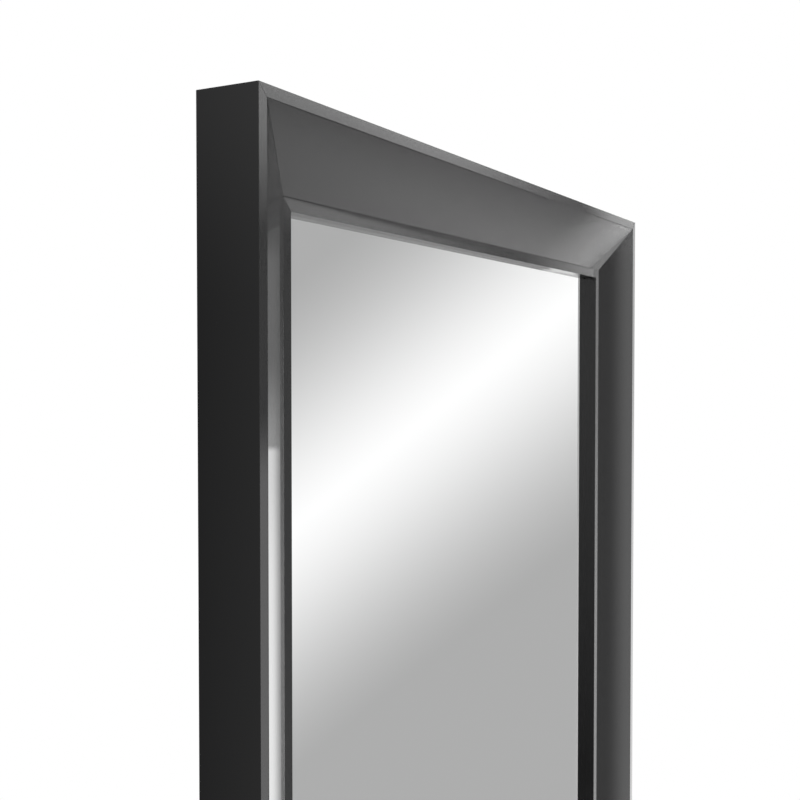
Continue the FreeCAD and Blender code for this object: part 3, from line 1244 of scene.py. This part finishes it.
    def build(self, rows: Mapping[str, tuple[str, list[Vector]]]) -> None:
        """Makes the screws in each row and the nails in the mitres.

        Args:
            rows: for each piece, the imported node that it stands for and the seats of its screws' heads.
        """
        tree = self.tree()
        screw = self.screw()
        for name, (node, seats) in rows.items():
            places = [(place, 0.0) for place in seats]
            self.scatter(tree, name, screw.copy(), places, 2 * math.pi, node)
        nails = []
        for corner in Corner:
            for heel in self.nail_heels:
                inset = corner.turn().to_3x3() @ Vector((-heel, 0, -heel))
                nails.append((self.layout.corner(corner) + inset, math.radians(corner.value)))
        self.scatter(tree, "v_nails", self.nail(), nails, 0.0, "corner_v_nails")


@dataclass
class CornerBrackets:
    """Flat angle brackets across the mitres."""

    width: float = 14.0 * MM
    thickness: float = 1.6 * MM
    edge: float = 0.25 * MM
    end_round: float = 6.5 * MM
    heel_round: float = 2.0 * MM
    hole_radius: float = 2.1 * MM
    hole_from_end: float = 9.0 * MM
    hole_pitch: float = 27.0 * MM
    holes_in_arm: int = 2
    arc_steps: int = 7

    def holes(self, span: float) -> list[Vector]:
        """Hole centres of a bracket.

        Args:
            span: length of each arm.

        Returns:
            Their places, in from the heel.
        """
        last = span - self.hole_from_end
        reaches = [last - step * self.hole_pitch for step in range(self.holes_in_arm)]
        arm = [Vector((reach, self.width / 2)) for reach in reaches]
        return arm + [place.yx for place in arm]

    def mesh(self, span: float) -> bpy.types.Mesh:
        """Bracket with its heel at the origin, lying on the land, for the top right corner.

        Args:
            span: length of each arm.

        Returns:
            A closed mesh.
        """
        wide = self.width
        corners = [
            (0.0, 0.0, self.heel_round),
            (span, 0.0, self.end_round),
            (span, wide, self.end_round),
            (wide, wide, self.heel_round),
            (wide, span, self.end_round),
            (0.0, span, self.end_round),
        ]
        outline = [-place for place, _ in rounded(corners, self.arc_steps)]
        holes = [circle(-place, self.hole_radius, 4 * self.arc_steps) for place in self.holes(span)]
        flat = evened(stamped(outline, self.thickness, self.edge, holes))
        return moved(flat, Matrix.Translation((0, self.thickness / 2, 0)) @ LAID_FLAT)

    def build(self) -> list[Vector]:
        """Makes and seats the four brackets.

        Returns:
            Seats of their screws' heads.
        """
        seats = []
        for corner in Corner:
            node = "corner_bracket_" + corner.name.lower()
            low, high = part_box(node)
            middle = (low + high) / 2
            span = high.x - low.x
            to_heel = corner.turn().to_3x3() @ Vector((span / 2, 0, span / 2))
            heel = Vector((middle.x, low.y, middle.z)) + to_heel
            placement = Matrix.Translation(heel) @ corner.turn()
            mesh = dressed(moved(self.mesh(span), placement), ZINC)
            seat("angle_bracket_" + corner.name.lower(), mesh, [node])
            seats += [placement @ Vector((-hole.x, self.thickness, -hole.y)) for hole in self.holes(span)]
        return seats


@dataclass
class TurnButtons:
    """Stamped buttons that hold the board in, each on its own pivot screw."""

    width: float = 11.0 * MM
    reach: float = 24.0 * MM
    tail: float = 6.0 * MM
    thickness: float = 1.2 * MM
    edge: float = 0.2 * MM
    end_round: float = 5.0 * MM
    lift: float = 1.6 * MM
    lift_length: float = 7.0 * MM
    play: float = 0.15 * MM
    hole_radius: float = 1.83 * MM
    bend_length: float = 3.0 * MM
    bend_steps: int = 6
    arc_steps: int = 7

    def mesh(self) -> bpy.types.Mesh:
        """Button pointing down -Z from its pivot, lying just clear of the land.

        Returns:
            A closed mesh.
        """
        half = self.width / 2
        corners = [
            (-half, self.tail, self.end_round),
            (half, self.tail, self.end_round),
            (half, -self.reach, self.end_round),
            (-half, -self.reach, self.end_round),
        ]
        outline = [place for place, _ in rounded(corners, self.arc_steps)]
        hole = circle(Vector((0, 0)), self.hole_radius, 4 * self.arc_steps)
        flat = stamped(outline, self.thickness, self.edge, [hole])
        bend = self.reach - self.lift_length
        shape = bmesh.new()
        shape.from_mesh(flat)
        for step in range(self.bend_steps + 1):
            cut = bend + self.bend_length * (step / self.bend_steps - 0.5)
            everything = shape.verts[:] + shape.edges[:] + shape.faces[:]
            bmesh.ops.bisect_plane(shape, geom=everything, plane_co=(0, -cut, 0), plane_no=(0, 1, 0))
        for vert in shape.verts:
            vert.co.z -= self.rise(-vert.co.y - bend)
        shape.to_mesh(flat)
        shape.free()
        middle = self.play + self.thickness / 2
        return evened(mended(moved(flat, Matrix.Translation((0, middle, 0)) @ LAID_FLAT)))

    def rise(self, past: float) -> float:
        """Height of the lifted tip at a distance past its bend, which is eased on both sides.

        Args:
            past: distance past the middle of the bend.

        Returns:
            The height.
        """
        half = self.bend_length / 2
        slope = self.lift / self.lift_length
        if past <= -half:
            return 0.0
        if past >= half:
            return slope * past
        return slope * (past + half) ** 2 / (4 * half)

    def build(self, joints: Sequence[Mapping[str, object]]) -> list[Vector]:
        """Makes and seats every button on its own body.

        Args:
            joints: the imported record's joints.

        Returns:
            Seats of the pivot screws' heads.
        """
        seats = []
        pattern = self.mesh()
        for name, pivot in pivots(joints, "button_").items():
            body = "button_" + name
            side = Side[name.split("_")[0].upper()]
            mesh = dressed(moved(pattern, Matrix.Translation(pivot) @ side.turn()), ZINC)
            seat("steel_" + body, mesh, ["turn_" + body], body)
            seats.append(pivot + Vector((0, self.thickness + 2 * self.play, 0)))
        return seats


@dataclass
class Hangers:
    """Steel straps folded round the bars of D rings."""

    wire_radius: float = 1.4 * MM
    bow_radius: float = 11.0 * MM
    bend_radius: float = 3.5 * MM
    rest_gap: float = 0.4 * MM
    strap_width: float = 14.0 * MM
    strap_length: float = 44.0 * MM
    strap_thickness: float = 1.0 * MM
    strap_ramp: float = 8.0 * MM
    strap_corner: float = 3.0 * MM
    parting: float = 0.06 * MM
    edge: float = 0.12 * MM
    eye_clearance: float = 0.08 * MM
    hole_radius: float = 2.1 * MM
    hole_steps: int = 28
    holes: Pair = (36.0 * MM, 20.0 * MM)
    arc_steps: int = 10
    wire_steps: int = 20

    @property
    def eye(self) -> float:
        """Inside radius of the fold."""
        return self.wire_radius + self.eye_clearance

    @property
    def bar_height(self) -> float:
        """Height of the ring's bar above the land."""
        return self.eye + self.strap_thickness

    def fold(self, radius: float, foot: float) -> list[Vector]:
        """One face of the fold in side view, from under the bar over it and down its ramp.

        Args:
            radius: distance of that face from the bar.
            foot: height of the ramp's foot above the bar's axis.

        Returns:
            Points of the line, with the bar at the origin and the strap along -X.
        """
        end = Vector((-self.strap_ramp, foot))
        bearing = math.atan2(end.y, end.x) % (2 * math.pi) - math.acos(radius / end.length)
        start = math.radians(-90)
        line = []
        for step in range(2 * self.arc_steps + 1):
            turn = start + (bearing - start) * step / (2 * self.arc_steps)
            line.append(Vector((math.cos(turn), math.sin(turn))) * radius)
        return [*line, end]

    def strap(self) -> bpy.types.Mesh:
        """Strap folded double, with the ring's bar along Z through the origin and the land below on Y.

        Returns:
            A closed mesh.
        """
        land = -self.bar_height
        outside = self.fold(self.bar_height, land + 2 * self.strap_thickness)
        inside = self.fold(self.eye, land + self.strap_thickness + self.parting / 2)
        tail = -self.strap_length
        outline = [
            Vector((tail, land)),
            *outside,
            Vector((tail, outside[-1].y)),
            Vector((tail, inside[-1].y)),
            *reversed(inside),
            Vector((tail, land + self.strap_thickness - self.parting / 2)),
        ]
        folded = stamped(outline, self.strap_width, self.edge)
        half = self.strap_width / 2
        room = 2 * self.strap_length
        corners = [
            (room, -half - self.edge, 0.0),
            (room, half + self.edge, 0.0),
            (tail, half, self.strap_corner),
            (tail, -half, self.strap_corner),
        ]
        blank = [place for place, _ in rounded(corners, self.arc_steps)]
        block = moved(stamped(blank, room, self.edge), LAID_FLAT)
        strap = carved(folded, block, Cut.KEEP)
        for distance in self.holes:
            profile = [(0, -room), (self.hole_radius, -room), (self.hole_radius, room), (0, room)]
            drill = lathed(profile, self.hole_steps)
            strap = carved(strap, moved(drill, Matrix.Translation((-distance, 0, 0))))
        return evened(strap)

    def ring(self) -> bpy.types.Mesh:
        """D ring leaning back from its bar, which lies along Z through the origin.

        Returns:
            A closed mesh.
        """
        reach = self.bend_radius + self.bow_radius
        corners = [
            (0.0, -self.bow_radius, self.bend_radius),
            (reach, -self.bow_radius, self.bow_radius),
            (reach, self.bow_radius, self.bow_radius),
            (0.0, self.bow_radius, self.bend_radius),
        ]
        points = [place for place, _ in rounded(corners, self.arc_steps)]
        path = [place for index, place in enumerate(points) if (place - points[index - 1]).length > WELD]
        lean = math.asin((self.bar_height - self.wire_radius - self.rest_gap) / reach)
        return moved(wire_loop(path, self.wire_radius, self.wire_steps), Matrix.Rotation(-lean, 4, "Z"))

    def build(self, joints: Sequence[Mapping[str, object]]) -> list[Vector]:
        """Makes and seats each strap on the frame and each ring on its own body.

        Args:
            joints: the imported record's joints.

        Returns:
            Seats of the strap screws' heads.
        """
        seats = []
        strap, ring = self.strap(), self.ring()
        for name, pivot in pivots(joints, "ring_").items():
            ahead = Vector((0, 0, 1)) if name in ("left", "right") else Vector((-1, 0, 0))
            back = Vector((0, 1, 0))
            axes = Matrix((ahead, back, ahead.cross(back))).transposed().to_4x4()
            placement = Matrix.Translation(pivot) @ axes
            folded = dressed(moved(strap, placement), ZINC)
            seat("folded_strap_" + name, folded, ["hanger_strap_" + name])
            bent = dressed(moved(ring, placement), ZINC)
            seat("d_ring_" + name, bent, ["hanger_ring_" + name], "ring_" + name)
            top = 2 * self.strap_thickness - self.bar_height
            seats += [placement @ Vector((-distance, top, 0)) for distance in self.holes]
        return seats


@dataclass
class Bumpers:
    """Rubber discs that keep the frame off the wall."""

    radius: float = 4.5 * MM
    height: float = 2.0 * MM
    rounding: float = 1.6 * MM
    foot: float = 0.2 * MM
    steps: int = 40
    arc_steps: int = 6
    names: tuple[str, ...] = ("top_left", "top_right", "bottom_left", "bottom_right")

    def mesh(self) -> bpy.types.Mesh:
        """Disc standing along Y, with a fine foot and a rounded rim.

        Returns:
            A closed mesh.
        """
        profile = [(0.0, 0.0), (self.radius - self.foot, 0.0), (self.radius, self.foot)]
        centre = (self.radius - self.rounding, self.height - self.rounding)
        profile += quarter(centre, self.rounding, self.arc_steps)
        return lathed([*profile, (0.0, self.height)], self.steps)

    def build(self) -> None:
        """Makes and seats the four bumpers."""
        for name in self.names:
            low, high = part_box("wall_bumper_" + name)
            foot = Vector(((low.x + high.x) / 2, low.y, (low.z + high.z) / 2))
            mesh = dressed(moved(self.mesh(), Matrix.Translation(foot)), RUBBER)
            seat("bumper_" + name, mesh, ["wall_bumper_" + name])


# Where a patch of light runs out at the foot, the head and the right end of its card.
FOOT = (-5.0, -4.5)
HEAD = (2.2, 3.0)
RIGHT_END = (90.0, 95.0)


@dataclass(frozen=True)
class Patch:
    """Soft-edged patch of light on a card.

    Bearings are degrees from straight ahead towards the viewer's right, and heights are metres. Each
    range says where the patch starts, is full, is still full and ends. Its heights climb by the lean
    with each degree past its middle bearing.
    """

    bearing: Ramp
    height: Ramp
    radiance: float
    lean: float = 0.0

    @property
    def reach(self) -> Pair:
        """Lowest and highest point of the patch."""
        climb = abs(self.lean) * (self.bearing[-1] - self.bearing[0]) / 2
        return self.height[0] - climb, self.height[-1] + climb


@dataclass(frozen=True)
class Glow:
    """Curved card before the mirror that carries patches of light.

    It shows only in the pieces named, and only after a number of bounces from the first to the last
    given.
    """

    name: str
    lit: tuple[str, ...]
    patches: tuple[Patch, ...]
    bounces: tuple[int, int] = (1, 9)


@dataclass(frozen=True)
class Lamp:
    """Soft square lamp that no reflection shows."""

    name: str
    place: Triple
    power: float
    size: float = 1.8
    target: Triple = (0.0, 0.0, -0.5)

    def build(self) -> None:
        """Puts the lamp in the scene, aimed at its target."""
        light = bpy.data.lights.new(self.name, "AREA")
        light.size = self.size
        light.energy = self.power
        holder = placed(self.name, light)
        holder.location = self.place
        aim = Vector(self.target) - Vector(self.place)
        holder.rotation_euler = aim.to_track_quat("-Z", "Y").to_euler()
        holder.visible_camera = False
        holder.visible_glossy = False


@dataclass
class Studio:
    """Pale floor, white surroundings, a grey sweep before the mirror and soft light."""

    foot_z: float
    floor_gap: float = 0.2 * MM
    floor_steps: int = 96
    ambient: float = 0.62
    sweep_radius: float = 4.0
    sweep_bearings: Pair = (-160.0, 95.0)
    sweep_heights: Pair = (-5.0, 4.0)
    sweep_tone: float = 0.437
    right_shade: float = 0.22
    right_bearings: Pair = (71.6, 73.3)
    left_bearings: Pair = (-20.0, -60.0)
    left_heights: Pair = (-2.1, 0.05)
    left_shades: Pair = (0.1, 0.7)
    side_bearings: Pair = (-85.0, -112.0)
    side_slope: Pair = (-129.5, -118.0)
    side_shades: Pair = (0.08, 0.56)
    side_heights: Pair = (0.2, 1.3)
    side_lift: float = 0.24
    clear_heights: Pair = (1.9, 3.4)
    clear_bearings: tuple[Pair, ...] = ((82.0, 94.5), (-144.0, -159.5))
    fewest_columns: int = 2
    band_inset: float = 0.02
    band_bearing: float = 63.9
    band_rise: float = 0.802
    band_half_height: float = 1.06
    band_period: float = 60.0
    band_grey: float = 0.682
    band_white: float = 1.02
    band_easing: float = 0.5
    band_end: Pair = (71.4, 72.9)
    band_bounces: tuple[int, int] = (1, 1)
    display_gamma: float = 2.2
    lamps: tuple[Lamp, ...] = (Lamp("key", (-1.4, -2.2, 1.6), 22.0), Lamp("back", (1.2, 2.4, 1.2), 20.0))
    glow_inset: float = 0.04
    glows: tuple[Glow, ...] = (
        Glow(
            "front",
            tuple(LENGTHS.values()),
            (
                Patch((10.0, 22.0, 62.0, 70.0), (*FOOT, *HEAD), 0.08),
                Patch((40.06, 42.06, 51.06, 52.26), (*FOOT, -0.42, -0.08), 1.05),
                Patch((23.2, 24.0, 32.9, 37.9), (*FOOT, 1.5, 3.0), 0.1),
                Patch((24.55, 25.85, 32.9, 37.9), (*FOOT, 1.5, 3.0), 1.2),
            ),
        ),
        Glow(
            "overhead",
            ("right_stile", "bottom_rail"),
            (Patch((20.0, 30.0, 64.0, 70.5), (0.49, 1.23, *HEAD), 1.8),),
        ),
        Glow(
            "overhead_left",
            ("left_stile",),
            (Patch((20.0, 30.0, 64.0, 70.5), (0.58, 1.21, *HEAD), 1.8),),
        ),
        Glow(
            "top_front",
            ("top_rail",),
            (
                Patch((20.0, 30.0, 59.5, 72.0), (0.82, 1.42, 2.6, 3.4), 2.07, lean=-0.0169),
                Patch((50.5, 51.5, 54.5, 67.0), (0.45, 0.55, 0.678, 0.686), 1.18, lean=-0.0169),
                Patch((51.6, 52.9, 71.2, 73.0), (*FOOT, -0.98, -0.48), 0.815, lean=0.024),
            ),
        ),
        Glow(
            "top_right",
            ("top_rail",),
            (
                Patch((70.0, 73.0, *RIGHT_END), (0.6, 0.64, *HEAD), 1.4),
                Patch((66.8, 71.4, *RIGHT_END), (0.4, 0.46, 0.58, 0.62), 0.8),
                Patch((71.0, 73.4, 73.5, 74.9), (*FOOT, -0.34, -0.08), 1.44),
                Patch((72.8, 73.8, 74.8, 75.4), (-0.44, -0.36, -0.34, -0.12), 0.36),
                Patch((69.0, 72.5, *RIGHT_END), (0.0, 0.1, 0.3, 0.44), 1.2),
            ),
            bounces=(1, 1),
        ),
        Glow(
            "top_corner",
            ("top_rail",),
            (
                Patch((68.9, 69.4, 70.5, 71.0), (-0.3, -0.22, -0.155, -0.14), 0.4),
                Patch((72.0, 73.0, 75.5, 76.0), (0.5, 0.6, *HEAD), 0.42),
                Patch((68.5, 68.9, 73.0, 73.6), (-0.5, -0.4, 0.05, 0.1), 0.36),
            ),
            bounces=(2, 2),
        ),
        Glow(
            "glass_spot",
            (PANE,),
            (Patch((68.9, 69.4, 70.5, 71.0), (-0.3, -0.22, -0.12, -0.06), 0.7),),
            bounces=(2, 2),
        ),
        Glow(
            "corner_dim",
            ("top_rail", PANE),
            (Patch((72.8, 73.4, 75.5, 76.0), (-0.6, -0.5, -0.3, -0.2), 0.15),),
            bounces=(3, 3),
        ),
        Glow(
            "right_side",
            ("right_stile",),
            (
                Patch((70.3, 73.2, *RIGHT_END), (-4.0, -3.5, *HEAD), 1.8),
                Patch((70.3, 73.2, *RIGHT_END), (*FOOT, -0.6, 0.2), 0.75),
                Patch((54.0, 57.0, 60.6, 61.75), (*FOOT, *HEAD), 1.3),
                Patch((54.0, 57.0, 60.6, 61.75), (*FOOT, -0.9, 0.35), 0.85),
            ),
        ),
        Glow(
            "left_bounce",
            ("left_stile",),
            (
                Patch((64.0, 70.0, *RIGHT_END), (*FOOT, *HEAD), 0.28),
                Patch((64.0, 70.0, *RIGHT_END), (-2.4, -1.3, -1.1, 0.35), 0.85),
                Patch((73.2, 73.35, *RIGHT_END), (*FOOT, -0.1, 0.5), 0.8),
            ),
            bounces=(2, 2),
        ),
        Glow(
            "glass_right",
            (PANE,),
            (
                Patch((73.34, 74.12, *RIGHT_END), (*FOOT, -0.25, -0.221), 1.05),
                Patch((73.34, 74.12, *RIGHT_END), (*FOOT, -0.8, -0.24), 0.33),
                Patch((73.0, 74.2, *RIGHT_END), (*FOOT, -0.25, 0.15), 0.44),
                Patch((73.2, 74.0, *RIGHT_END), (*FOOT, 0.475, 0.645), 0.145),
            ),
            bounces=(1, 2),
        ),
    )

    def build(self, pieces: Mapping[str, bpy.types.Object]) -> None:
        """Sets up everything around the object.

        Args:
            pieces: the lacquered lengths and the mirror, by node, for the cards to light.
        """
        self.surroundings()
        self.floor()
        sweep = self.card("sweep", self.sweep_bearings, self.sweep_heights, 0.0)
        sweep.data.materials.append(self.sweep_material())
        band = self.card("diagonal", self.sweep_bearings, self.sweep_heights, self.band_inset)
        band.data.materials.append(self.diagonal_material())
        band.light_linking.receiver_collection = self.receivers("diagonal", [pieces[PANE]])
        for place, glow in enumerate(self.glows, 1):
            lit = self.receivers(glow.name, [pieces[name] for name in glow.lit])
            self.glow_card(glow, place * self.glow_inset, lit)
        for lamp in self.lamps:
            lamp.build()

    def surroundings(self) -> None:
        """White world as the eye and reflections see it, and a plain level of light from it."""
        world = bpy.data.worlds.new("studio")
        bpy.context.scene.world = world
        world.use_nodes = True
        wiring = Wiring(world.node_tree)
        path = wiring.node("ShaderNodeLightPath").outputs
        mirrored = wiring.math("MAXIMUM", path["Is Glossy Ray"], path["Is Transmission Ray"])
        seen = wiring.math("MAXIMUM", path["Is Camera Ray"], mirrored)
        backdrop = world.node_tree.nodes["Background"].inputs
        wiring.feed(backdrop["Color"], (1.0, 1.0, 1.0, 1.0))
        wiring.feed(backdrop["Strength"], wiring.between(seen, self.ambient, 1.0))

    def floor(self) -> None:
        """Round pale floor that fades out at its rim."""
        mesh = bpy.data.meshes.new("floor")
        shape = bmesh.new()
        bmesh.ops.create_circle(shape, cap_ends=True, segments=self.floor_steps, radius=FLOOR.radius)
        shape.to_mesh(mesh)
        shape.free()
        mesh.transform(Matrix.Translation((0, 0, self.foot_z - self.floor_gap)))
        placed("floor", dressed(mesh, FLOOR))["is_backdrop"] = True

    def card(self, name: str, bearings: Pair, heights: Pair, inset: float) -> bpy.types.Object:
        """Upright curved card about the mirror, seen only in reflections.

        Args:
            name: name of the card.
            bearings: bearings of its two ends, in degrees.
            heights: heights of its lower and upper edge.
            inset: how far it stands inside the sweep.

        Returns:
            The card, with no material yet.
        """
        radius = self.sweep_radius - inset
        columns = max(self.fewest_columns, round(abs(bearings[1] - bearings[0])))
        verts = []
        for column in range(columns + 1):
            turn = math.radians(bearings[0] + (bearings[1] - bearings[0]) * column / columns)
            for height in heights:
                verts.append((radius * math.sin(turn), -radius * math.cos(turn), height))
        faces = [(2 * i, 2 * i + 1, 2 * i + 3, 2 * i + 2) for i in range(columns)]
        mesh = bpy.data.meshes.new(name)
        mesh.from_pydata(verts, [], faces)
        card = placed(name, mesh)
        card.visible_camera = False
        card.visible_diffuse = False
        card.visible_transmission = False
        card.visible_shadow = False
        card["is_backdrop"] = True
        return card

    @staticmethod
    def receivers(name: str, pieces: Sequence[bpy.types.Object]) -> bpy.types.Collection:
        """Collection of the pieces that a card lights.

        Args:
            name: name of the card.
            pieces: the pieces.

        Returns:
            The collection.
        """
        group = bpy.data.collections.new(name)
        for piece in pieces:
            group.objects.link(piece)
        return group

    @staticmethod
    def bearing_and_height(wiring: Wiring) -> tuple[bpy.types.NodeSocket, bpy.types.NodeSocket]:
        """Bearing of a point on a card, in degrees, and its height.

        Args:
            wiring: the card's wiring.

        Returns:
            Sockets that give the two.
        """
        place = wiring.node("ShaderNodeSeparateXYZ", {"Vector": wiring.place()}).outputs
        ahead = wiring.math("MULTIPLY", place["Y"], -1.0)
        turn = wiring.math("ARCTAN2", place["X"], ahead)
        return wiring.math("DEGREES", turn), place["Z"]

    @staticmethod
    def light_material(name: str) -> tuple[bpy.types.Material, Wiring, bpy.types.Node]:
        """Empty material for a card, its wiring and its output.

        Args:
            name: name of the material.

        Returns:
            The three.
        """
        material = bpy.data.materials.new(name)
        material.use_nodes = True
        material.node_tree.nodes.clear()
        wiring = Wiring(material.node_tree)
        material.cycles.emission_sampling = "NONE"
        return material, wiring, wiring.node("ShaderNodeOutputMaterial")

    def sweep_material(self) -> bpy.types.Material:
        """Even grey that falls off into shade on the left and clears to white at its top and ends.

        Returns:
            The material.
        """
        material, wiring, output = self.light_material("grey_sweep")
        bearing, height = self.bearing_and_height(wiring)
        right = wiring.fade(bearing, *self.right_bearings)
        front = wiring.between(right, self.sweep_tone, self.right_shade)
        left = wiring.spread(height, self.left_heights, self.left_shades)
        near = wiring.between(wiring.fade(bearing, *self.left_bearings), front, left)
        lift = wiring.math("MULTIPLY", wiring.fade(height, *self.side_heights), self.side_lift)
        side = wiring.math("ADD", wiring.spread(bearing, self.side_slope, self.side_shades), lift)
        grey = wiring.between(wiring.fade(bearing, *self.side_bearings), near, side)
        cleared = wiring.fade(height, *self.clear_heights)
        for ends in self.clear_bearings:
            cleared = wiring.math("MAXIMUM", cleared, wiring.fade(bearing, *ends))
        strength = wiring.between(cleared, grey, 1.0)
        glow = wiring.node("ShaderNodeEmission", {"Strength": strength}).outputs[0]
        wiring.feed(output.inputs["Surface"], glow)
        return material

    @staticmethod
    def added_light(
        wiring: Wiring, output: bpy.types.Node, strength: object, bounces: tuple[int, int]
    ) -> None:
        """Light that a card adds to whatever lies behind it.

        Args:
            wiring: the card's wiring.
            output: output of its material.
            strength: radiance of the light.
            bounces: first and last bounce at which it shows.
        """
        first, last = bounces
        half = 0.5
        depth = wiring.node("ShaderNodeLightPath").outputs["Ray Depth"]
        begun = wiring.math("GREATER_THAN", depth, first - half)
        shown = wiring.math("MULTIPLY", begun, wiring.math("LESS_THAN", depth, last + half))
        radiance = wiring.math("MULTIPLY", shown, strength)
        glow = wiring.node("ShaderNodeEmission", {"Strength": radiance}).outputs[0]
        clear = wiring.node("ShaderNodeBsdfTransparent").outputs[0]
        both = wiring.node("ShaderNodeAddShader", {0: glow, 1: clear}).outputs[0]
        wiring.feed(output.inputs["Surface"], both)

    def diagonal_material(self) -> bpy.types.Material:
        """Soft bands of light that rise to the right across the sweep.

        Returns:
            The material.
        """
        material, wiring, output = self.light_material("diagonal_light")
        bearing, height = self.bearing_and_height(wiring)
        rise = self.band_rise * math.radians(1.0) * self.sweep_radius
        climb = wiring.math("MULTIPLY", wiring.math("SUBTRACT", bearing, self.band_bearing), rise)
        off = wiring.math("SUBTRACT", height, climb)
        period = self.band_period * rise
        wrapped = wiring.math("WRAP", off, period / 2, -period / 2)
        share = wiring.math("DIVIDE", wiring.math("ABSOLUTE", wrapped), self.band_half_height)
        inside = wiring.math("MAXIMUM", wiring.math("SUBTRACT", 1.0, share), 0.0)
        eased = wiring.between(self.band_easing, inside, wiring.fade(inside, *UNIT))
        shade = wiring.between(eased, self.band_grey, self.band_white)
        light = wiring.math("POWER", shade, self.display_gamma)
        added = wiring.math("SUBTRACT", light, self.band_grey**self.display_gamma)
        shown = wiring.math("MULTIPLY", added, wiring.fade(bearing, *self.band_end[::-1]))
        self.added_light(wiring, output, shown, self.band_bounces)
        return material

    def glow_card(self, glow: Glow, inset: float, receivers: bpy.types.Collection) -> None:
        """One card with its patches.

        Args:
            glow: what the card carries.
            inset: how far it stands inside the sweep.
            receivers: the only pieces that it lights.
        """
        starts = [patch.bearing[0] for patch in glow.patches]
        ends = [patch.bearing[-1] for patch in glow.patches]
        lows, highs = zip(*(patch.reach for patch in glow.patches))
        card = self.card(glow.name, (min(starts), max(ends)), (min(lows), max(highs)), inset)
        material, wiring, output = self.light_material(glow.name + "_light")
        spot = self.bearing_and_height(wiring)
        first, *others = (self.patch_light(wiring, *spot, patch) for patch in glow.patches)
        for other in others:
            first = wiring.math("ADD", first, other)
        self.added_light(wiring, output, first, glow.bounces)
        card.data.materials.append(material)
        card.light_linking.receiver_collection = receivers

    @staticmethod
    def patch_light(
        wiring: Wiring, bearing: bpy.types.NodeSocket, height: bpy.types.NodeSocket, patch: Patch
    ) -> bpy.types.NodeSocket:
        """Radiance of one patch at a bearing and height.

        Args:
            wiring: the card's wiring.
            bearing: the bearing, in degrees.
            height: the height.
            patch: the patch.

        Returns:
            Socket that gives it.
        """
        middle = (patch.bearing[0] + patch.bearing[-1]) / 2
        climb = wiring.math("MULTIPLY", wiring.math("SUBTRACT", bearing, middle), patch.lean)
        level = wiring.math("SUBTRACT", height, climb)
        strength: object = patch.radiance
        for value, (start, full, still, end) in ((bearing, patch.bearing), (level, patch.height)):
            rising = wiring.math("MULTIPLY", wiring.fade(value, start, full), strength)
            strength = wiring.math("MULTIPLY", wiring.fade(value, end, still), rising)
        return strength


@dataclass(frozen=True)
class Viewpoint:
    """Camera near the frame's upper left, looking along its face."""

    place: Triple = (-0.8080, -0.3986, 0.0723)
    yaw: float = 60.84
    pitch: float = -1.485
    lens: float = 50.56
    sensor: float = 36.0
    clip_start: float = 0.01

    def build(self) -> None:
        """Makes the camera and gives it to the scene."""
        camera = bpy.data.cameras.new("viewpoint")
        camera.lens = self.lens
        camera.sensor_width = self.sensor
        camera.clip_start = self.clip_start
        holder = placed("viewpoint", camera)
        holder.location = self.place
        holder.rotation_euler = (math.radians(90 + self.pitch), 0.0, math.radians(-self.yaw))
        bpy.context.scene.camera = holder


def main() -> None:
    """Builds the mirror's pieces in order, then the studio."""
    logging.basicConfig(level=logging.INFO, format="%(message)s")
    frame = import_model()
    packed_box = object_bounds()
    layout = Layout.read()
    lengths = MitredFrame(layout).build()
    Pane(frame["nodes"]).build()
    rows = {
        "bracket_screws": ("corner_bracket_screws", CornerBrackets().build()),
        "button_screws": ("turn_button_screws", TurnButtons().build(frame["joints"])),
        "strap_screws": ("hanger_screws", Hangers().build(frame["joints"])),
    }
    Fasteners(layout).build(rows)
    Bumpers().build()
    Studio(packed_box[0].z).build({**frame["nodes"], **lengths})
    Viewpoint().build()
    bpy.context.scene.view_settings.view_transform = "Standard"


if __name__ == "__main__":
    main()
